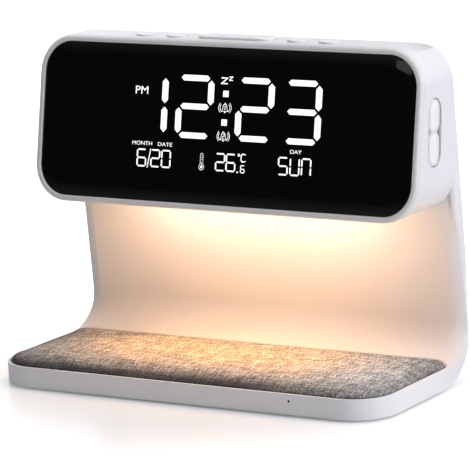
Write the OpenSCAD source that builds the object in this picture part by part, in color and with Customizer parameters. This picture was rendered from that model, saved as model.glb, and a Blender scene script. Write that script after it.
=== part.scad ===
// Sunrise alarm clock: a C-shaped housing with a tilted display head, a lamp under the
// head that lights the stem, and a base that carries a fabric-covered charging pad.
// Origin: middle of the footprint on the table. +X right, +Y back, +Z up. Millimetres.

/* [Overall] */
// Overall width, the same for head, stem and base
body_w = 200; // [185:1:215]
// Overall depth, from the front of the base to the back of the bend
body_d = 90.4; // [86:0.2:98]
// Overall height above the table
body_h = 155; // [150:1:165]

/* [Housing] */
// Wall of the housing
wall = 2.0; // [1.8:0.1:2.2]
// Forward lean of the stem and the back, degrees
lean = 4.8; // [3:0.1:6]
// Thickness of the stem, front face to back face
stem_t = 6.5; // [6.2:0.1:8]
// Height of the rim of the base above the table
base_top = 10.2; // [10:0.1:11]
// Height of the underside of the base above the table
base_gap = 1.0; // [0.8:0.1:1.2]
// Radius of the bend at the back of the base, outside
bend_out_r = 26; // [24:0.5:27]
// Radius of the bend between the base and the stem, inside
bend_in_r = 17; // [15:0.5:18]
// Corner radius of the front of the base, seen from above
base_corner_r = 19; // [16:0.5:22]
// Corner radius of the upright back edges, seen from above
back_edge_r = 3; // [2.5:0.1:4]
// Radius between the top face and the back
top_back_r = 7; // [5:0.5:8]

/* [Head] */
// Height of the underside of the head above the table
head_under = 79.5; // [76:0.5:82]
// Depth of the top face, from the display face to the back
head_top_d = 24.7; // [24:0.1:28]
// Backward tilt of the display face, degrees
tilt = 10.7; // [9:0.1:12]
// Corner radius of the head, seen from the front
head_r = 17; // [15:0.5:19]
// Thickness of the front frame
frame_t = 3.0; // [2.8:0.1:3.4]
// Width of the visible border round the display lens
border = 2.8; // [2.4:0.1:3.4]
// Width of the ledge behind the edge of the lens
ledge_w = 6.5; // [5:0.5:8]
// Thickness of the skirt that centres the frame in the housing
skirt_t = 1.4; // [1.2:0.1:1.6]
// Depth of the skirt behind the frame
skirt_d = 2.0; // [1.5:0.1:3]
// Height of the seam between the housing and the lamp cover
lamp_seam = 88.3; // [86.5:0.1:90]

/* [Display] */
// Thickness of the display lens
lens_t = 1.8; // [1.5:0.1:2]
// Width of the display glass
lcd_w = 146; // [130:1:155]
// Width of the window left above and below the display glass
lcd_space = 2.1; // [1.5:0.1:4]
// Height of the middle of the display above the middle of the face
lcd_rise = 1.0; // [0:0.1:2]
// Overlap of the chassis over the edge of the display glass
lcd_seat = 3; // [2:0.5:4]
// Thickness of the flange of the display chassis
flange_t = 1.5; // [1.2:0.1:2]
// Thickness of the light guide
guide_t = 3.0; // [2.5:0.1:3.5]
// Thickness of the circuit boards in the head
board_t = 1.6; // [1.2:0.1:1.8]
// Distance of the top of the display chassis below the top of the face
chassis_drop = 10.8; // [10:0.1:13]

/* [Top buttons] */
// Diameter of the round top buttons
button_d = 9.6; // [9:0.1:10]
// Distance of the inner buttons from the middle
button_in_x = 31.7; // [30.5:0.1:33]
// Distance of the outer buttons from the middle
button_out_x = 48; // [47:0.1:52]
// Distance of the button row behind the display face
button_back = 9.1; // [8.8:0.1:10]
// Length of the snooze bar
snooze_l = 39; // [34:0.5:40]
// Width of the snooze bar, front to back
snooze_w = 11; // [10:0.1:12]
// Depth that the snooze bar lies below the top face
snooze_drop = 0.5; // [0:0.1:0.7]
// Width of the flange that keeps a button in its hole
button_lip = 1.1; // [0.8:0.1:1.2]
// Travel of the buttons and of the snooze bar
button_travel = 0.8; // [0.4:0.1:1]
// Diameter of a button's stem
stem_d = 3.2; // [2.6:0.1:3.6]
// Depth of the button board below the top of the head
button_board_z = 8.4; // [8.2:0.1:8.6]
// Thickness of the button board
button_board_t = 1.2; // [1:0.1:1.4]

/* [Side rocker] */
// Length of the rocker
rocker_l = 30; // [26:0.5:32]
// Width of the rocker
rocker_w = 11.5; // [10:0.5:13]
// Thickness of the rocker
rocker_t = 2.4; // [2.3:0.1:2.8]
// Distance of the middle of the rocker behind the display face
rocker_back = 14.5; // [13.8:0.1:16]
// Backward tilt of the rocker, degrees
rocker_tilt = 6; // [3:0.5:9]
// Swing of the rocker each way, degrees
rocker_swing = 3; // [2:0.5:3]
// Diameter of the rocker's hinge pin
pin_d = 1.5; // [1.3:0.1:1.8]
// Depth of the hinge pin below the side face
pin_depth = 4.4; // [4.2:0.1:4.8]
// Depth of the rocker bracket below the side face
bracket_depth = 10.5; // [10:0.1:12]

/* [Lamp] */
// Wall of the lamp cover
lamp_cover_t = 1.8; // [1.5:0.1:2]
// Distance of the lamp's reflector from the sides of the head
reflector_in = 22; // [20:1:30]
// Depth of the lamp's reflector, front to back
reflector_d = 21; // [18:0.5:22]
// Height of the lamp's reflector
reflector_h = 10.5; // [9:0.5:11]
// Wall of the reflector
reflector_t = 1.0; // [0.8:0.1:1.2]
// Number of lamp chips
chip_count = 14; // [8:1:18]
// Thickness of the lamp board
lamp_board_t = 1.2; // [1:0.1:1.6]

/* [Base] */
// Width of the rim round the pad
rim = 1.2; // [1:0.1:1.6]
// Height of the floor under the pad
pad_floor = 7.6; // [7.5:0.1:7.8]
// Thickness of the floor under the pad
floor_t = 1.2; // [1:0.1:1.2]
// Thickness of the plate under the fabric pad
pad_plate_t = 1.6; // [1.4:0.1:1.8]
// Height of the top of the fabric pad above the table
pad_top = 14.6; // [13.5:0.1:16]
// Distance of the back edge of the pad behind the start of the bend
pad_past = 9.3; // [8:0.1:9.3]
// Width of the rounded edge of the pad
pad_roll = 10; // [6:0.5:12]
// Corner radius of the back of the pad
pad_back_r = 8; // [6:0.5:12]
// Thickness of the base cover
base_cover_t = 2.0; // [1.8:0.1:2.2]
// Width of the housing left round the base cover
cover_border = 4; // [3.5:0.1:5]
// Diameter of a rubber foot
foot_d = 12; // [10:0.5:12]
// Depth that a foot is sunk in the base cover
foot_sink = 0.6; // [0.4:0.1:0.8]
// Distance of the feet from the sides
foot_in = 30; // [28:1:40]
// Thickness of the ballast plate
ballast_t = 2.2; // [1.5:0.1:2.4]

/* [Charger] */
// Outer diameter of the charging coil
coil_d = 44; // [38:1:46]
// Inner diameter of the charging coil
coil_bore = 20; // [16:1:24]
// Thickness of the charging coil
coil_t = 1.2; // [1:0.1:1.3]
// Side of the square ferrite sheet
ferrite_w = 48; // [46:1:50]
// Thickness of the ferrite sheet
ferrite_t = 0.8; // [0.6:0.1:0.9]
// Distance of the middle of the coil behind the front of the base
coil_back = 37.2; // [35:0.1:40]
// Thickness of the charger board
charger_t = 1.0; // [0.8:0.1:1.2]
// Height of the charger board above the base cover
charger_rise = 0.9; // [0.8:0.1:1]
// Distance of the indicator from the side of the base
indicator_in = 43; // [40:1:46]
// Diameter of the indicator's light pipe
indicator_d = 1.1; // [0.8:0.1:1.1]

/* [Rear cover] */
// Width of the housing left at the sides of the rear cover
cover_in = 7; // [6:0.5:10]
// Start of the rear cover above the bend, along the back
cover_lo = 4; // [3:0.5:6]
// Distance of the upper edge of the rear cover below the top
cover_drop = 12.3; // [11:0.1:14]
// Corner radius of the rear cover
cover_r = 11; // [8:0.5:14]
// Depth of the step that the rear cover sits on
lip_t = 1.2; // [1:0.1:1.4]
// Width of the step that the rear cover sits on
lip_w = 2; // [1.5:0.1:2.5]
// Distance of the middle of the speaker from the side
speaker_in = 48; // [44:1:52]
// Distance of the middle of the speaker below the top
speaker_drop = 37.3; // [34:0.1:39]
// Diameter of the speaker
speaker_d = 36; // [32:1:38]
// Distance of the middle of the cell door from the side
cell_in = 48; // [44:1:52]
// Distance of the middle of the cell door below the top
cell_drop = 37.3; // [34:0.1:39]
// Diameter of the coin cell
cell_d = 20; // [16:1:20]
// Thickness of the coin cell
cell_t = 3.2; // [2.5:0.1:3.2]
// Diameter of the cell door
door_d = 24.4; // [24:0.2:26]
// Height of the power inlet above the underside of the head
inlet_up = 17.5; // [16.5:0.1:22]

/* [Fasteners] */
// Diameter of a screw's shank
screw_d = 1.9; // [1.7:0.1:2]
// Diameter of a screw's head
screw_head_d = 3.8; // [3.4:0.1:4]
// Height of a screw's head
screw_head_h = 1.1; // [0.9:0.1:1.2]
// Diameter of a screw boss
boss_d = 6.4; // [5.6:0.1:7]

/* [Clearances] */
// Gap round loose parts and along seams
gap = 0.3; // [0.25:0.01:0.35]
// Gap round parts that are pushed in tight
snug = 0.15; // [0.1:0.01:0.2]
// Radial clearance of a pin or screw in its hole
fit = 0.05; // [0.03:0.01:0.08]

/* [Hidden] */

$fn = 64;
arc_steps = 10;   // straight pieces in a rounded profile corner
over = 1;         // how far a cut runs past the surface it opens

// Lines of the side profile
bend_y = body_d/2 - bend_out_r;
bend_z = base_gap + bend_out_r;
back_y0 = bend_y + bend_out_r*cos(lean);
back_z0 = bend_z + bend_out_r*sin(lean);
back_len = (body_h - back_z0)/cos(lean);
function back_y(z) = back_y0 - (z - back_z0)*tan(lean);
function stem_y(z) = back_y(z) - stem_t/cos(lean);
head_front = back_y(body_h) - head_top_d - (body_h - head_under)*tan(tilt);
function face_y(z) = head_front + (z - head_under)*tan(tilt);
face_h = (body_h - head_under)/cos(tilt);
face_mid = face_h/2;

// Side profile of the housing: [y, z, corner radius], anticlockwise from the lower front
profile = [
    [-body_d/2, base_gap, 0],
    [back_y(base_gap), base_gap, bend_out_r],
    [back_y(body_h), body_h, top_back_r],
    [face_y(body_h), body_h, 0],
    [face_y(head_under), head_under, 0],
    [stem_y(head_under), head_under, 0],
    [stem_y(base_top), base_top, bend_in_r],
    [-body_d/2, base_top, 0]
];

// Display, lens and boards, as distances behind the display face
lens_w = body_w - 2*border;
lens_h = face_h - 2*border;
lens_r = head_r - border;
window_w = lens_w - 2*ledge_w;
window_h = lens_h - 2*ledge_w;
lcd_mid = face_mid + lcd_rise;
lcd_h = window_h - 2*lcd_space;
chassis_top = face_h - chassis_drop;
guide_w = lcd_w - 2;
guide_h = lcd_h - 3;
guide_back = frame_t + flange_t + guide_t;
tray_t = 1.5;
tray_side_t = 3.6;
skirt_mid = face_mid + (frame_t + skirt_d/2)*tan(tilt);
skirt_h = face_h - 2*(wall + gap)/cos(tilt) - skirt_d*tan(tilt);
skirt_w = body_w - 2*(wall + gap);
skirt_r = head_r - wall - gap;
board_past = 3.5;
board_over = 0.7;
main_board_w = guide_w + 2*(snug + tray_side_t + board_past);
main_board_y = guide_back + snug;
main_board_back = main_board_y + board_t;
board_high = lcd_mid + lcd_h/2 - 0.25;
board_low = (lamp_cover_t + reflector_h + board_over + main_board_back*sin(tilt))/cos(tilt);
main_board_mid = (board_high + board_low)/2;
main_board_h = board_high - board_low;
frame_screw_in = 4.6;
button_y = face_y(body_h) + button_back;

// Top buttons, downwards from the top of the head
under_top = body_h - wall;
flange_h = 0.9;
lip_top = under_top - gap;
lip_bottom = lip_top - flange_h;
button_board_top = body_h - button_board_z;
switch_w = 5;
switch_body_h = 1.8;
switch_knob_h = 1.4;
switch_knob_d = 2.4;
switch_h = switch_body_h + switch_knob_h;
switch_top = button_board_top + switch_h;
stem_bottom = switch_top + button_travel + snug;
button_xs = [-button_out_x, -button_in_x, button_in_x, button_out_x];
lip_r = button_d/2 + button_lip;
snooze_y = button_y + (snooze_w - button_d)/2;
post_d = 4;
post_y = button_y + 1.5;
post_xs = [
    (snooze_l/2 + button_lip + button_in_x - lip_r)/2,
    button_out_x + lip_r + post_d/2 + gap
];
button_board_w = 2*(post_xs[1] + post_d/2 + 1);
button_board_d = 11.4;

// Rocker, inwards from the side face
rocker_z = (body_h + head_under)/2;
rocker_y = face_y(rocker_z) + rocker_back;
lug_w = 1.6;
lug_x = 2.6;
cheek_w = 1.6;
cheek_x = rocker_w/2 + gap + 0.4;
bracket_t = 1.2;
bracket_l = rocker_l + 8;
bracket_foot = 2.4;
rocker_board_t = 1.0;
rocker_press = rocker_l/2 - 4;
rocker_board_x = bracket_depth - bracket_t;
rocker_switch_x = rocker_board_x - rocker_board_t - switch_h;
rocker_dip = rocker_press*sin(rocker_swing) + snug;

// Lamp, upwards from the underside of the head
lamp_floor = head_under + lamp_cover_t;
reflector_w = body_w - 2*reflector_in;
reflector_y = stem_y(lamp_floor) - 3.2 - reflector_d;
reflector_top = lamp_floor + reflector_h;
lamp_board_top = reflector_top - reflector_t;
lamp_board_bottom = lamp_board_top - lamp_board_t;
lamp_board_d = 12;
lamp_board_w = reflector_w - 2*reflector_t - 6;
chip_w = 3.5;
chip_d = 2.8;
chip_h = 0.8;
chip_pitch = (lamp_board_w - 6)/chip_count;
reflector_mid = reflector_y + reflector_d/2;

// Base, upwards from the table
floor_bottom = pad_floor - floor_t;
cover_top = base_gap + base_cover_t;
cover_back = bend_y - 0.5;
cover_corner_r = base_corner_r - cover_border;
recess_w = body_w - 2*rim;
recess_front = -body_d/2 + rim;
pad_back = bend_y + pad_past;
recess_back = pad_back + gap;
recess_front_r = base_corner_r - rim;
recess_wall = 1.2;
pad_plate_top = pad_floor + pad_plate_t;
pad_side = base_top + 0.2;
boss_in = 13;
boss_xs = body_w/2 - boss_in;
boss_front_y = boss_in + 1 - body_d/2;
boss_back_y = cover_back - boss_d/2 - 4;
foot_x = body_w/2 - foot_in;
foot_front_y = boss_front_y;
foot_back_y = cover_back - foot_d/2 - 1;
base_l = body_d - bend_out_r;
coil_y = body_d/2 - coil_back;
ballast_l = base_l - 14.4;
rest_y = (bend_y - body_d/2)/2 + 1;
coil_top = pad_floor - 0.05;
ferrite_top = coil_top - coil_t;
carrier_top = ferrite_top - ferrite_t;
carrier_t = 1.0;
carrier_w = ferrite_w + 10;
carrier_l = ferrite_w + 4;
carrier_slot = [ferrite_w - 6, 6];
pillar_d = 5;
pillar_in = 4;
pillar_edge = 4.7;
pillar_front_y = pillar_in - carrier_l/2 - coil_y;
pillar_back_y = cover_back - pillar_edge;
coil_window = ferrite_w + 6;
side_clear = 9;
ballast_in = 22;
ballast_w = body_w/2 - ballast_in - carrier_w/2 - side_clear;
ballast_x = -(carrier_w/2 + side_clear + ballast_w/2);
charger_out = 1.8;
charger_w = boss_xs - boss_d/2 - charger_out - carrier_w/2 - side_clear;
charger_x = carrier_w/2 + side_clear + charger_w/2;
charger_l = ballast_l;
indicator_x = body_w/2 - indicator_in;
charger_z = cover_top + charger_rise;
charger_top = charger_z + charger_t;
indicator_z = (floor_bottom + pad_floor)/2;
pipe_end = rest_y - charger_l/2 + 1.5;
ribbon_in = 7;
ribbon_x = guide_w/2 - ribbon_in;
ribbon_w = 12;
ribbon_t = 0.3;

// Rear cover, inwards from the back
cover_w = body_w - 2*cover_in;
cover_hi = back_len - cover_drop;
cover_mid = (cover_lo + cover_hi)/2;
head_start = (head_under - back_z0)/cos(lean);
speaker_x = body_w/2 - speaker_in;
speaker_rise = back_len - speaker_drop;
cell_x = body_w/2 - cell_in;
cell_rise = back_len - cell_drop;
inlet_rise = head_start + inlet_up;
rear_screw_x = cover_w/2 - lip_w - 4.5;
rear_screws_z = [cover_lo + 8, head_start + 14.5, cover_hi - 8];
stem_room = stem_t - 2*wall;
head_boss_l = 7;
slot_w = 1.5;
slot_pitch = 3.2;
grille_rows = floor((speaker_d/2 - 2*slot_w - 1)/slot_pitch);
vent_slots = 6;
vent_drop = 14;
speaker_flange_t = 1.2;
clamp_t = 1.4;
clamp_xs = [speaker_x - speaker_d/2 - 5, speaker_x + speaker_d/2 + 5];
clamp_ring = 1.7;
speaker_back = wall + speaker_flange_t;
magnet_r = speaker_d/4 + 1;
magnet_l = 10;
magnet_back = speaker_back + magnet_l;
cone_l = 6;
speaker_plug = [14, 4];
inlet_plug = [10, 9];
wire_start = 6;
socket_w = 8.9;
socket_h = 3.2;
socket_l = 7.4;
socket_wall = 0.3;
socket_r = 1.5;
tongue = [6.4, socket_l - 1.5, 0.7];
inlet_board_t = 1.0;
inlet_board_w = 18;
inlet_board_l = 12;
inlet_board_z = inlet_rise - socket_h/2 - inlet_board_t;
shelf_w = 2;
shelf_h = 3;
door_lug = 1.6;
door_lug_t = 1.0;
door_lug_w = 4;
door_lug_back = wall + gap + door_lug_t;
coin_slot = [12, 0.9, 1.8];
holder_wall = 1.2;
holder_lug_depth = door_lug_back + gap;
cell_front = holder_lug_depth + 0.9;
cell_back = cell_front + cell_t;
contact_t = 0.3;
wire_d = 1.0;
pilot_r = screw_d/2 + fit;

// ---- Points, paths and frames ----

function flat(p) = [p[0], p[1]];
function side_normal(a, b) = [a[1] - b[1], b[0] - a[0]]/norm(b - a);
function meet(p, u, q, v) = p + u*cross(q - p, v)/cross(u, v);

// Moves every side of an anticlockwise path inwards by t; hollow corners grow, outer ones shrink
function inset_path(path, t) = let (n = len(path)) [
    for (i = [0:n - 1])
        let (
            a = flat(path[(i + n - 1) % n]), b = flat(path[i]), c = flat(path[(i + 1) % n]),
            p = meet(a + t*side_normal(a, b), b - a, b + t*side_normal(b, c), c - b),
            r = path[i][2],
            r_in = r == 0 ? 0 : cross(b - a, c - b) > 0 ? max(r - t, 0) : r + t
        )
        [p[0], p[1], r_in]
];

// Replaces each corner of a path by its arc
function round_path(path, steps) = let (n = len(path)) [
    for (i = [0:n - 1])
        let (
            a = flat(path[(i + n - 1) % n]), b = flat(path[i]), c = flat(path[(i + 1) % n]), r = path[i][2],
            u = (a - b)/norm(a - b), v = (c - b)/norm(c - b),
            half = acos(u*v)/2,
            m = b + (u + v)/norm(u + v)*r/sin(half),
            s = b + u*r/tan(half) - m,
            turn = cross(u, v) < 0 ? 1 : -1,
            sweep = (180 - 2*half)*turn
        )
        for (k = [0:r > 0 ? steps : 0])
            let (w = sweep*k/steps)
            r > 0 ? m + [s[0]*cos(w) - s[1]*sin(w), s[0]*sin(w) + s[1]*cos(w)] : b
];

// Points given in the frame of the display face, and in the frame of the back
function head_pt(x, y, z) = [
    x, head_front + y*cos(tilt) + z*sin(tilt), head_under - y*sin(tilt) + z*cos(tilt)
];
function rear_pt(x, y, z) = [
    x, back_y0 + y*cos(lean) - z*sin(lean), back_z0 + y*sin(lean) + z*cos(lean)
];

head_up = [0, sin(tilt), cos(tilt)];
rear_up = [0, -sin(lean), cos(lean)];

module head_place() translate([0, head_front, head_under]) rotate([-tilt, 0, 0]) children();
module rear_place() translate([0, back_y0, back_z0]) rotate([lean, 0, 0]) children();
module rocker_place() {
    translate([body_w/2, rocker_y, rocker_z]) rotate([-rocker_tilt, 0, 0]) children();
}

// ---- Basic shapes ----

// A flat outline (y, z) carried along X, centred
module along_x(w) rotate([90, 0, 90]) linear_extrude(w, center = true) children();

// A flat outline (x, z) carried along Y from y0 to y1
module along_y(y0, y1) translate([0, y1, 0]) rotate([90, 0, 0]) linear_extrude(y1 - y0) children();

// A flat outline (y, z) carried along X from x0 to x1
module across_x(x0, x1) translate([x0, 0, 0]) rotate([90, 0, 90]) linear_extrude(x1 - x0) children();

module rounded_rect(w, h, r) {
    square([w - 2*r, h], center = true);
    square([w, h - 2*r], center = true);
    for (sx = [-1, 1], sy = [-1, 1]) translate([sx*(w/2 - r), sy*(h/2 - r)]) circle(r);
}

// A rectangle from y0 to y1 with its own corner radii in front and at the back
module deck(w, y0, y1, front_r, back_r) {
    small_r = min(front_r, back_r);
    translate([-w/2 + front_r, y0]) square([w - 2*front_r, y1 - y0 - back_r]);
    translate([-w/2, y0 + front_r]) square([w, y1 - y0 - front_r - back_r]);
    translate([-w/2 + back_r, y0 + front_r]) square([w - 2*back_r, y1 - y0 - front_r]);
    translate([-w/2 + front_r, y0 + small_r]) square([w - 2*front_r, y1 - y0 - 2*small_r]);
    for (s = [-1, 1]) {
        translate([s*(w/2 - front_r), y0 + front_r]) circle(front_r);
        translate([s*(w/2 - back_r), y1 - back_r]) circle(back_r);
    }
}

// A straight twelve-sided rod between two points, run on by a and b past its ends
module rod(p, q, d, a = 0, b = 0) {
    u = (q - p)/norm(q - p);
    translate(p - a*u) rotate([0, acos(u[2]), atan2(u[1], u[0])])
        cylinder(h = norm(q - p) + a + b, d = d, $fn = 12);
}

// A wire through a list of points: rods that run on into each other at the bends
module wire(points, d) {
    last = len(points) - 2;
    run_on = 0.3*d;
    for (i = [0:last]) rod(points[i], points[i + 1], d, i == 0 ? 0 : run_on, i == last ? 0 : run_on);
}

// A flat cable: a path (y, z) given a thickness and carried along X
module ribbon(path, w, t, x) {
    n = len(path);
    function side(i, s) = let (
        a = path[max(i - 1, 0)], b = path[min(i + 1, n - 1)], m = side_normal(a, b)
    ) path[i] + s*t/2*m;
    translate([x, 0, 0]) along_x(w) polygon(concat(
        [for (i = [0:n - 1]) side(i, -1)],
        [for (i = [n - 1:-1:0]) side(i, 1)]
    ));
}

// A screw pointing up, its head's flat side at the origin, with a cross in the head
module screw(shank_l) {
    cross_w = screw_head_d/6;
    cross_l = screw_head_d*0.6;
    cross_h = screw_head_h/2;
    difference() {
        translate([0, 0, -screw_head_h]) cylinder(h = screw_head_h, d = screw_head_d, $fn = 32);
        for (a = [0, 90]) rotate(a) translate([-cross_l/2, -cross_w/2, -screw_head_h - over])
            cube([cross_l, cross_w, cross_h + over]);
    }
    cylinder(h = shank_l, d = screw_d, $fn = 32);
}

// A small push switch standing on the origin
module push_switch() {
    translate([-switch_w/2, -switch_w/2, 0]) cube([switch_w, switch_w, switch_body_h]);
    cylinder(h = switch_h, d = switch_knob_d, $fn = 32);
}

// ---- Housing envelope ----

// The outer form of the housing moved inwards by t on every side. The lower corners of the head are
// rounded in front of the stem only, from the height corner_from up.
module envelope(t, corner_from = head_under - over) {
    difference() {
        intersection() {
            along_x(body_w - 2*t) polygon(round_path(inset_path(profile, t), arc_steps));
            linear_extrude(body_h + over)
                deck(body_w - 2*t, t - body_d/2, body_d/2 - t, base_corner_r - t, max(back_edge_r - t, gap));
            along_y(-body_d, body_d) front_outline(t);
        }
        intersection() {
            along_x(body_w + over) polygon([
                [-body_d, corner_from], [stem_y(corner_from) + t, corner_from],
                [stem_y(head_under + head_r) + t, head_under + head_r], [-body_d, head_under + head_r]
            ]);
            along_y(-body_d, body_d) for (s = [-1, 1]) scale([s, 1]) difference() {
                translate([body_w/2 - head_r, head_under - over]) square([head_r + over, head_r + over]);
                translate([body_w/2 - head_r, head_under + head_r]) circle(head_r - t);
            }
        }
    }
}

module front_outline(t) {
    translate([t - body_w/2, -over]) square([body_w - 2*t, body_h - head_r + over]);
    translate([head_r - body_w/2, -over]) square([body_w - 2*head_r, body_h - t + over]);
    for (s = [-1, 1]) translate([s*(body_w/2 - head_r), body_h - head_r]) circle(head_r - t);
}

// A layer of the head parallel to the display face, up to the height z1
module face_slab(y0, y1, z1 = face_h + head_r) {
    z0 = -head_r;
    head_place() translate([-body_w/2 - over, y0, z0]) cube([body_w + 2*over, y1 - y0, z1 - z0]);
}

// A plate parallel to the display face, from y0 to y1 behind it
module face_plate(w, h, r, y0, y1, mid = face_mid) {
    head_place() along_y(y0, y1) translate([0, mid]) rounded_rect(w, h, r);
}

// A hole square to the display face at [x, z], from y0 to y1 behind it
module head_hole(p, y0, y1, r) {
    head_place() translate([p[0], y0, p[1]]) rotate([-90, 0, 0]) cylinder(h = y1 - y0, r = r);
}

// The part of the head that belongs to the lamp cover
module lamp_zone(back_gap) {
    along_x(body_w + over) polygon([
        [-body_d/2, head_under - over],
        [stem_y(head_under - over) - back_gap, head_under - over],
        [stem_y(lamp_seam) - back_gap, lamp_seam],
        [-body_d/2, lamp_seam]
    ]);
}

// A layer of the rear cover's outline, from y0 to y1 (negative is inwards)
module rear_plate(grow, y0, y1) {
    rear_place() along_y(y0, y1) translate([0, cover_mid])
        rounded_rect(cover_w + 2*grow, cover_hi - cover_lo + 2*grow, cover_r + grow);
}

// A disc parallel to the back, from y0 to y1
module rear_disc(x, z, y0, y1, r) {
    rear_place() translate([x, y1, z]) rotate([90, 0, 0]) cylinder(h = y1 - y0, r = r);
}

// A pill-shaped outline, long along z
module pill(l, w) {
    square([w, l - w], center = true);
    for (s = [-1, 1]) translate([0, s*(l - w)/2]) circle(w/2);
}

// ---- Housing and its covers ----

module housing() color("whitesmoke") difference() {
    union() {
        difference() {
            envelope(0, lamp_seam);
            difference() {
                envelope(wall);
                translate([-body_w/2, -body_d/2, floor_bottom])
                    cube([body_w, recess_back + recess_wall + body_d/2, bend_z]);
            }
        }
        rear_bosses();
        base_bosses();
        button_posts();
    }
    face_slab(-head_r, frame_t);
    lamp_zone(0);
    translate([0, 0, pad_floor]) linear_extrude(bend_z)
        deck(recess_w, recess_front, recess_back, recess_front_r, pad_back_r + gap);
    floor_windows();
    translate([0, 0, base_gap - over]) linear_extrude(wall + over) cover_outline(0);
    rear_plate(0, -lip_t, over);
    rear_plate(-lip_w, -wall - over/4, over);
    button_holes();
    rocker_place() across_x(-wall - over, over)
        pill(rocker_l + 2*gap, rocker_w + 2*gap);
    translate([indicator_x, -body_d/2 - over, indicator_z]) rotate([-90, 0, 0])
        cylinder(h = pipe_end + body_d/2 + over, d = indicator_d + 2*fit, $fn = 24);
}

module rear_bosses() {
    rib_w = 2;
    for (s = [-1, 1], i = [0:2]) {
        boss_l = i == 0 ? stem_room + wall/2 : head_boss_l;
        rear_place() difference() {
            union() {
                translate([s*rear_screw_x, -wall, rear_screws_z[i]]) rotate([90, 0, 0])
                    cylinder(h = boss_l, d = boss_d);
                rib_l = body_w/2 - wall/2 - rear_screw_x;
                translate([s*(rear_screw_x + rib_l/2) - rib_l/2, -wall - boss_l, rear_screws_z[i] - rib_w/2])
                    cube([rib_l, boss_l, rib_w]);
            }
            translate([s*rear_screw_x, over - wall, rear_screws_z[i]]) rotate([90, 0, 0])
                cylinder(h = (i == 0 ? stem_room : head_boss_l - 1) + over, r = pilot_r);
        }
    }
}

module base_bosses() {
    for (s = [-1, 1], y = [boss_front_y, boss_back_y]) translate([s*boss_xs, y, cover_top]) difference() {
        cylinder(h = floor_bottom - cover_top + floor_t/2, d = boss_d);
        translate([0, 0, -over]) cylinder(h = floor_bottom - cover_top + over, r = pilot_r);
    }
}

module button_posts() {
    for (s = [-1, 1], x = post_xs) translate([s*x, post_y, button_board_top]) difference() {
        cylinder(h = under_top - button_board_top + wall/2, d = post_d);
        translate([0, 0, -over]) cylinder(h = 5 + over, r = pilot_r);
    }
}

module floor_windows() {
    translate([-coil_window/2, -coil_y - coil_window/2, floor_bottom - over])
        cube([coil_window, coil_window, floor_t + 2*over]);
    translate([charger_x - charger_w/2, rest_y - charger_l/2, floor_bottom - over])
        cube([charger_w, charger_l, floor_t + 2*over]);
}

module button_holes() {
    for (x = button_xs) translate([x, button_y, under_top - over])
        cylinder(h = wall + 2*over, d = button_d + 2*gap);
    translate([0, snooze_y, under_top - over]) linear_extrude(wall + 2*over)
        rotate(90) pill(snooze_l + 2*gap, snooze_w + 2*gap);
}

module cover_outline(shrink) {
    deck(body_w - 2*cover_border - 2*shrink, cover_border - body_d/2 + shrink, cover_back - shrink,
        cover_corner_r - shrink, pad_back_r - shrink);
}

module front_frame() color("gainsboro") difference() {
    union() {
        intersection() {
            envelope(0);
            face_slab(-over, frame_t);
        }
        intersection() {
            difference() {
                face_plate(skirt_w, skirt_h, skirt_r, frame_t - lens_t/3, frame_t + skirt_d, skirt_mid);
                face_plate(skirt_w - 2*skirt_t, skirt_h - 2*skirt_t, skirt_r - skirt_t,
                    frame_t - over, frame_t + skirt_d + over, skirt_mid);
            }
            face_slab(-over, frame_t + skirt_d + over, chassis_top);
        }
    }
    face_plate(lens_w + 2*snug, lens_h + 2*snug, lens_r + snug, -over, lens_t);
    face_plate(window_w, window_h, lens_r - ledge_w, -over, frame_t + over);
    for (p = frame_screw_points()) head_hole(p, lens_t + fit, frame_t + over, pilot_r);
}

function frame_screw_points() = [
    for (s = [-1, 1], z = [-1, 1]) [s*(lens_w/2 - frame_screw_in), face_mid + z*lens_h/4]
];

module lamp_cover() color([1, 0.97, 0.92]) difference() {
    intersection() {
        envelope(0);
        lamp_zone(snug);
    }
    envelope(lamp_cover_t);
    face_slab(-head_r, frame_t);
}

module rear_cover() color("whitesmoke") difference() {
    union() {
        rear_plate(-gap, -lip_t, 0);
        rear_plate(-lip_w - gap, -wall, -lip_t/2);
        for (x = clamp_xs) rear_disc(x, speaker_rise, -speaker_back, -wall/2, boss_d/2);
        for (x = [-inlet_board_w/2, inlet_board_w/2 - shelf_w]) rear_place()
            translate([x, -wall - inlet_board_l/2, inlet_board_z - shelf_h])
            cube([shelf_w, inlet_board_l/2 + wall/2, shelf_h]);
    }
    for (i = [-grille_rows:grille_rows]) speaker_slot(i*slot_pitch);
    for (i = [-vent_slots:vent_slots]) rear_place()
        translate([2*i*slot_pitch - slot_pitch/2, -wall - over, cover_hi - vent_drop])
        cube([slot_pitch, wall + 2*over, slot_w]);
    rear_disc(-cell_x, cell_rise, -wall - over, over, door_d/2 + fit);
    rear_place() translate([-cell_x, 0, cell_rise]) rotate([0, 45, 0])
        translate([-door_d/2 - door_lug - gap, -wall - over, -door_lug_w/2 - gap])
        cube([door_d + 2*(door_lug + gap), wall + 2*over, door_lug_w + 2*gap]);
    rear_place() along_y(-wall - over, over) translate([0, inlet_rise])
        rounded_rect(socket_w + 2*snug, socket_h + 2*snug, socket_r + snug);
    for (s = [-1, 1], z = rear_screws_z) {
        rear_disc(s*rear_screw_x, z, -wall - over, over, screw_d/2 + snug);
        rear_disc(s*rear_screw_x, z, -screw_head_h, over, screw_head_d/2 + snug);
    }
    for (x = clamp_xs) rear_disc(x, speaker_rise, -speaker_back - over, -wall/2 - fit, pilot_r);
}

// One slot of the speaker's grille, as long as the circle allows
module speaker_slot(z) {
    reach = speaker_d/2 - 2*slot_w;
    half = sqrt(reach*reach - z*z);
    rear_place() translate([speaker_x - half, -wall - over, speaker_rise + z - slot_w/2])
        cube([2*half, wall + 2*over, slot_w]);
}

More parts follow.
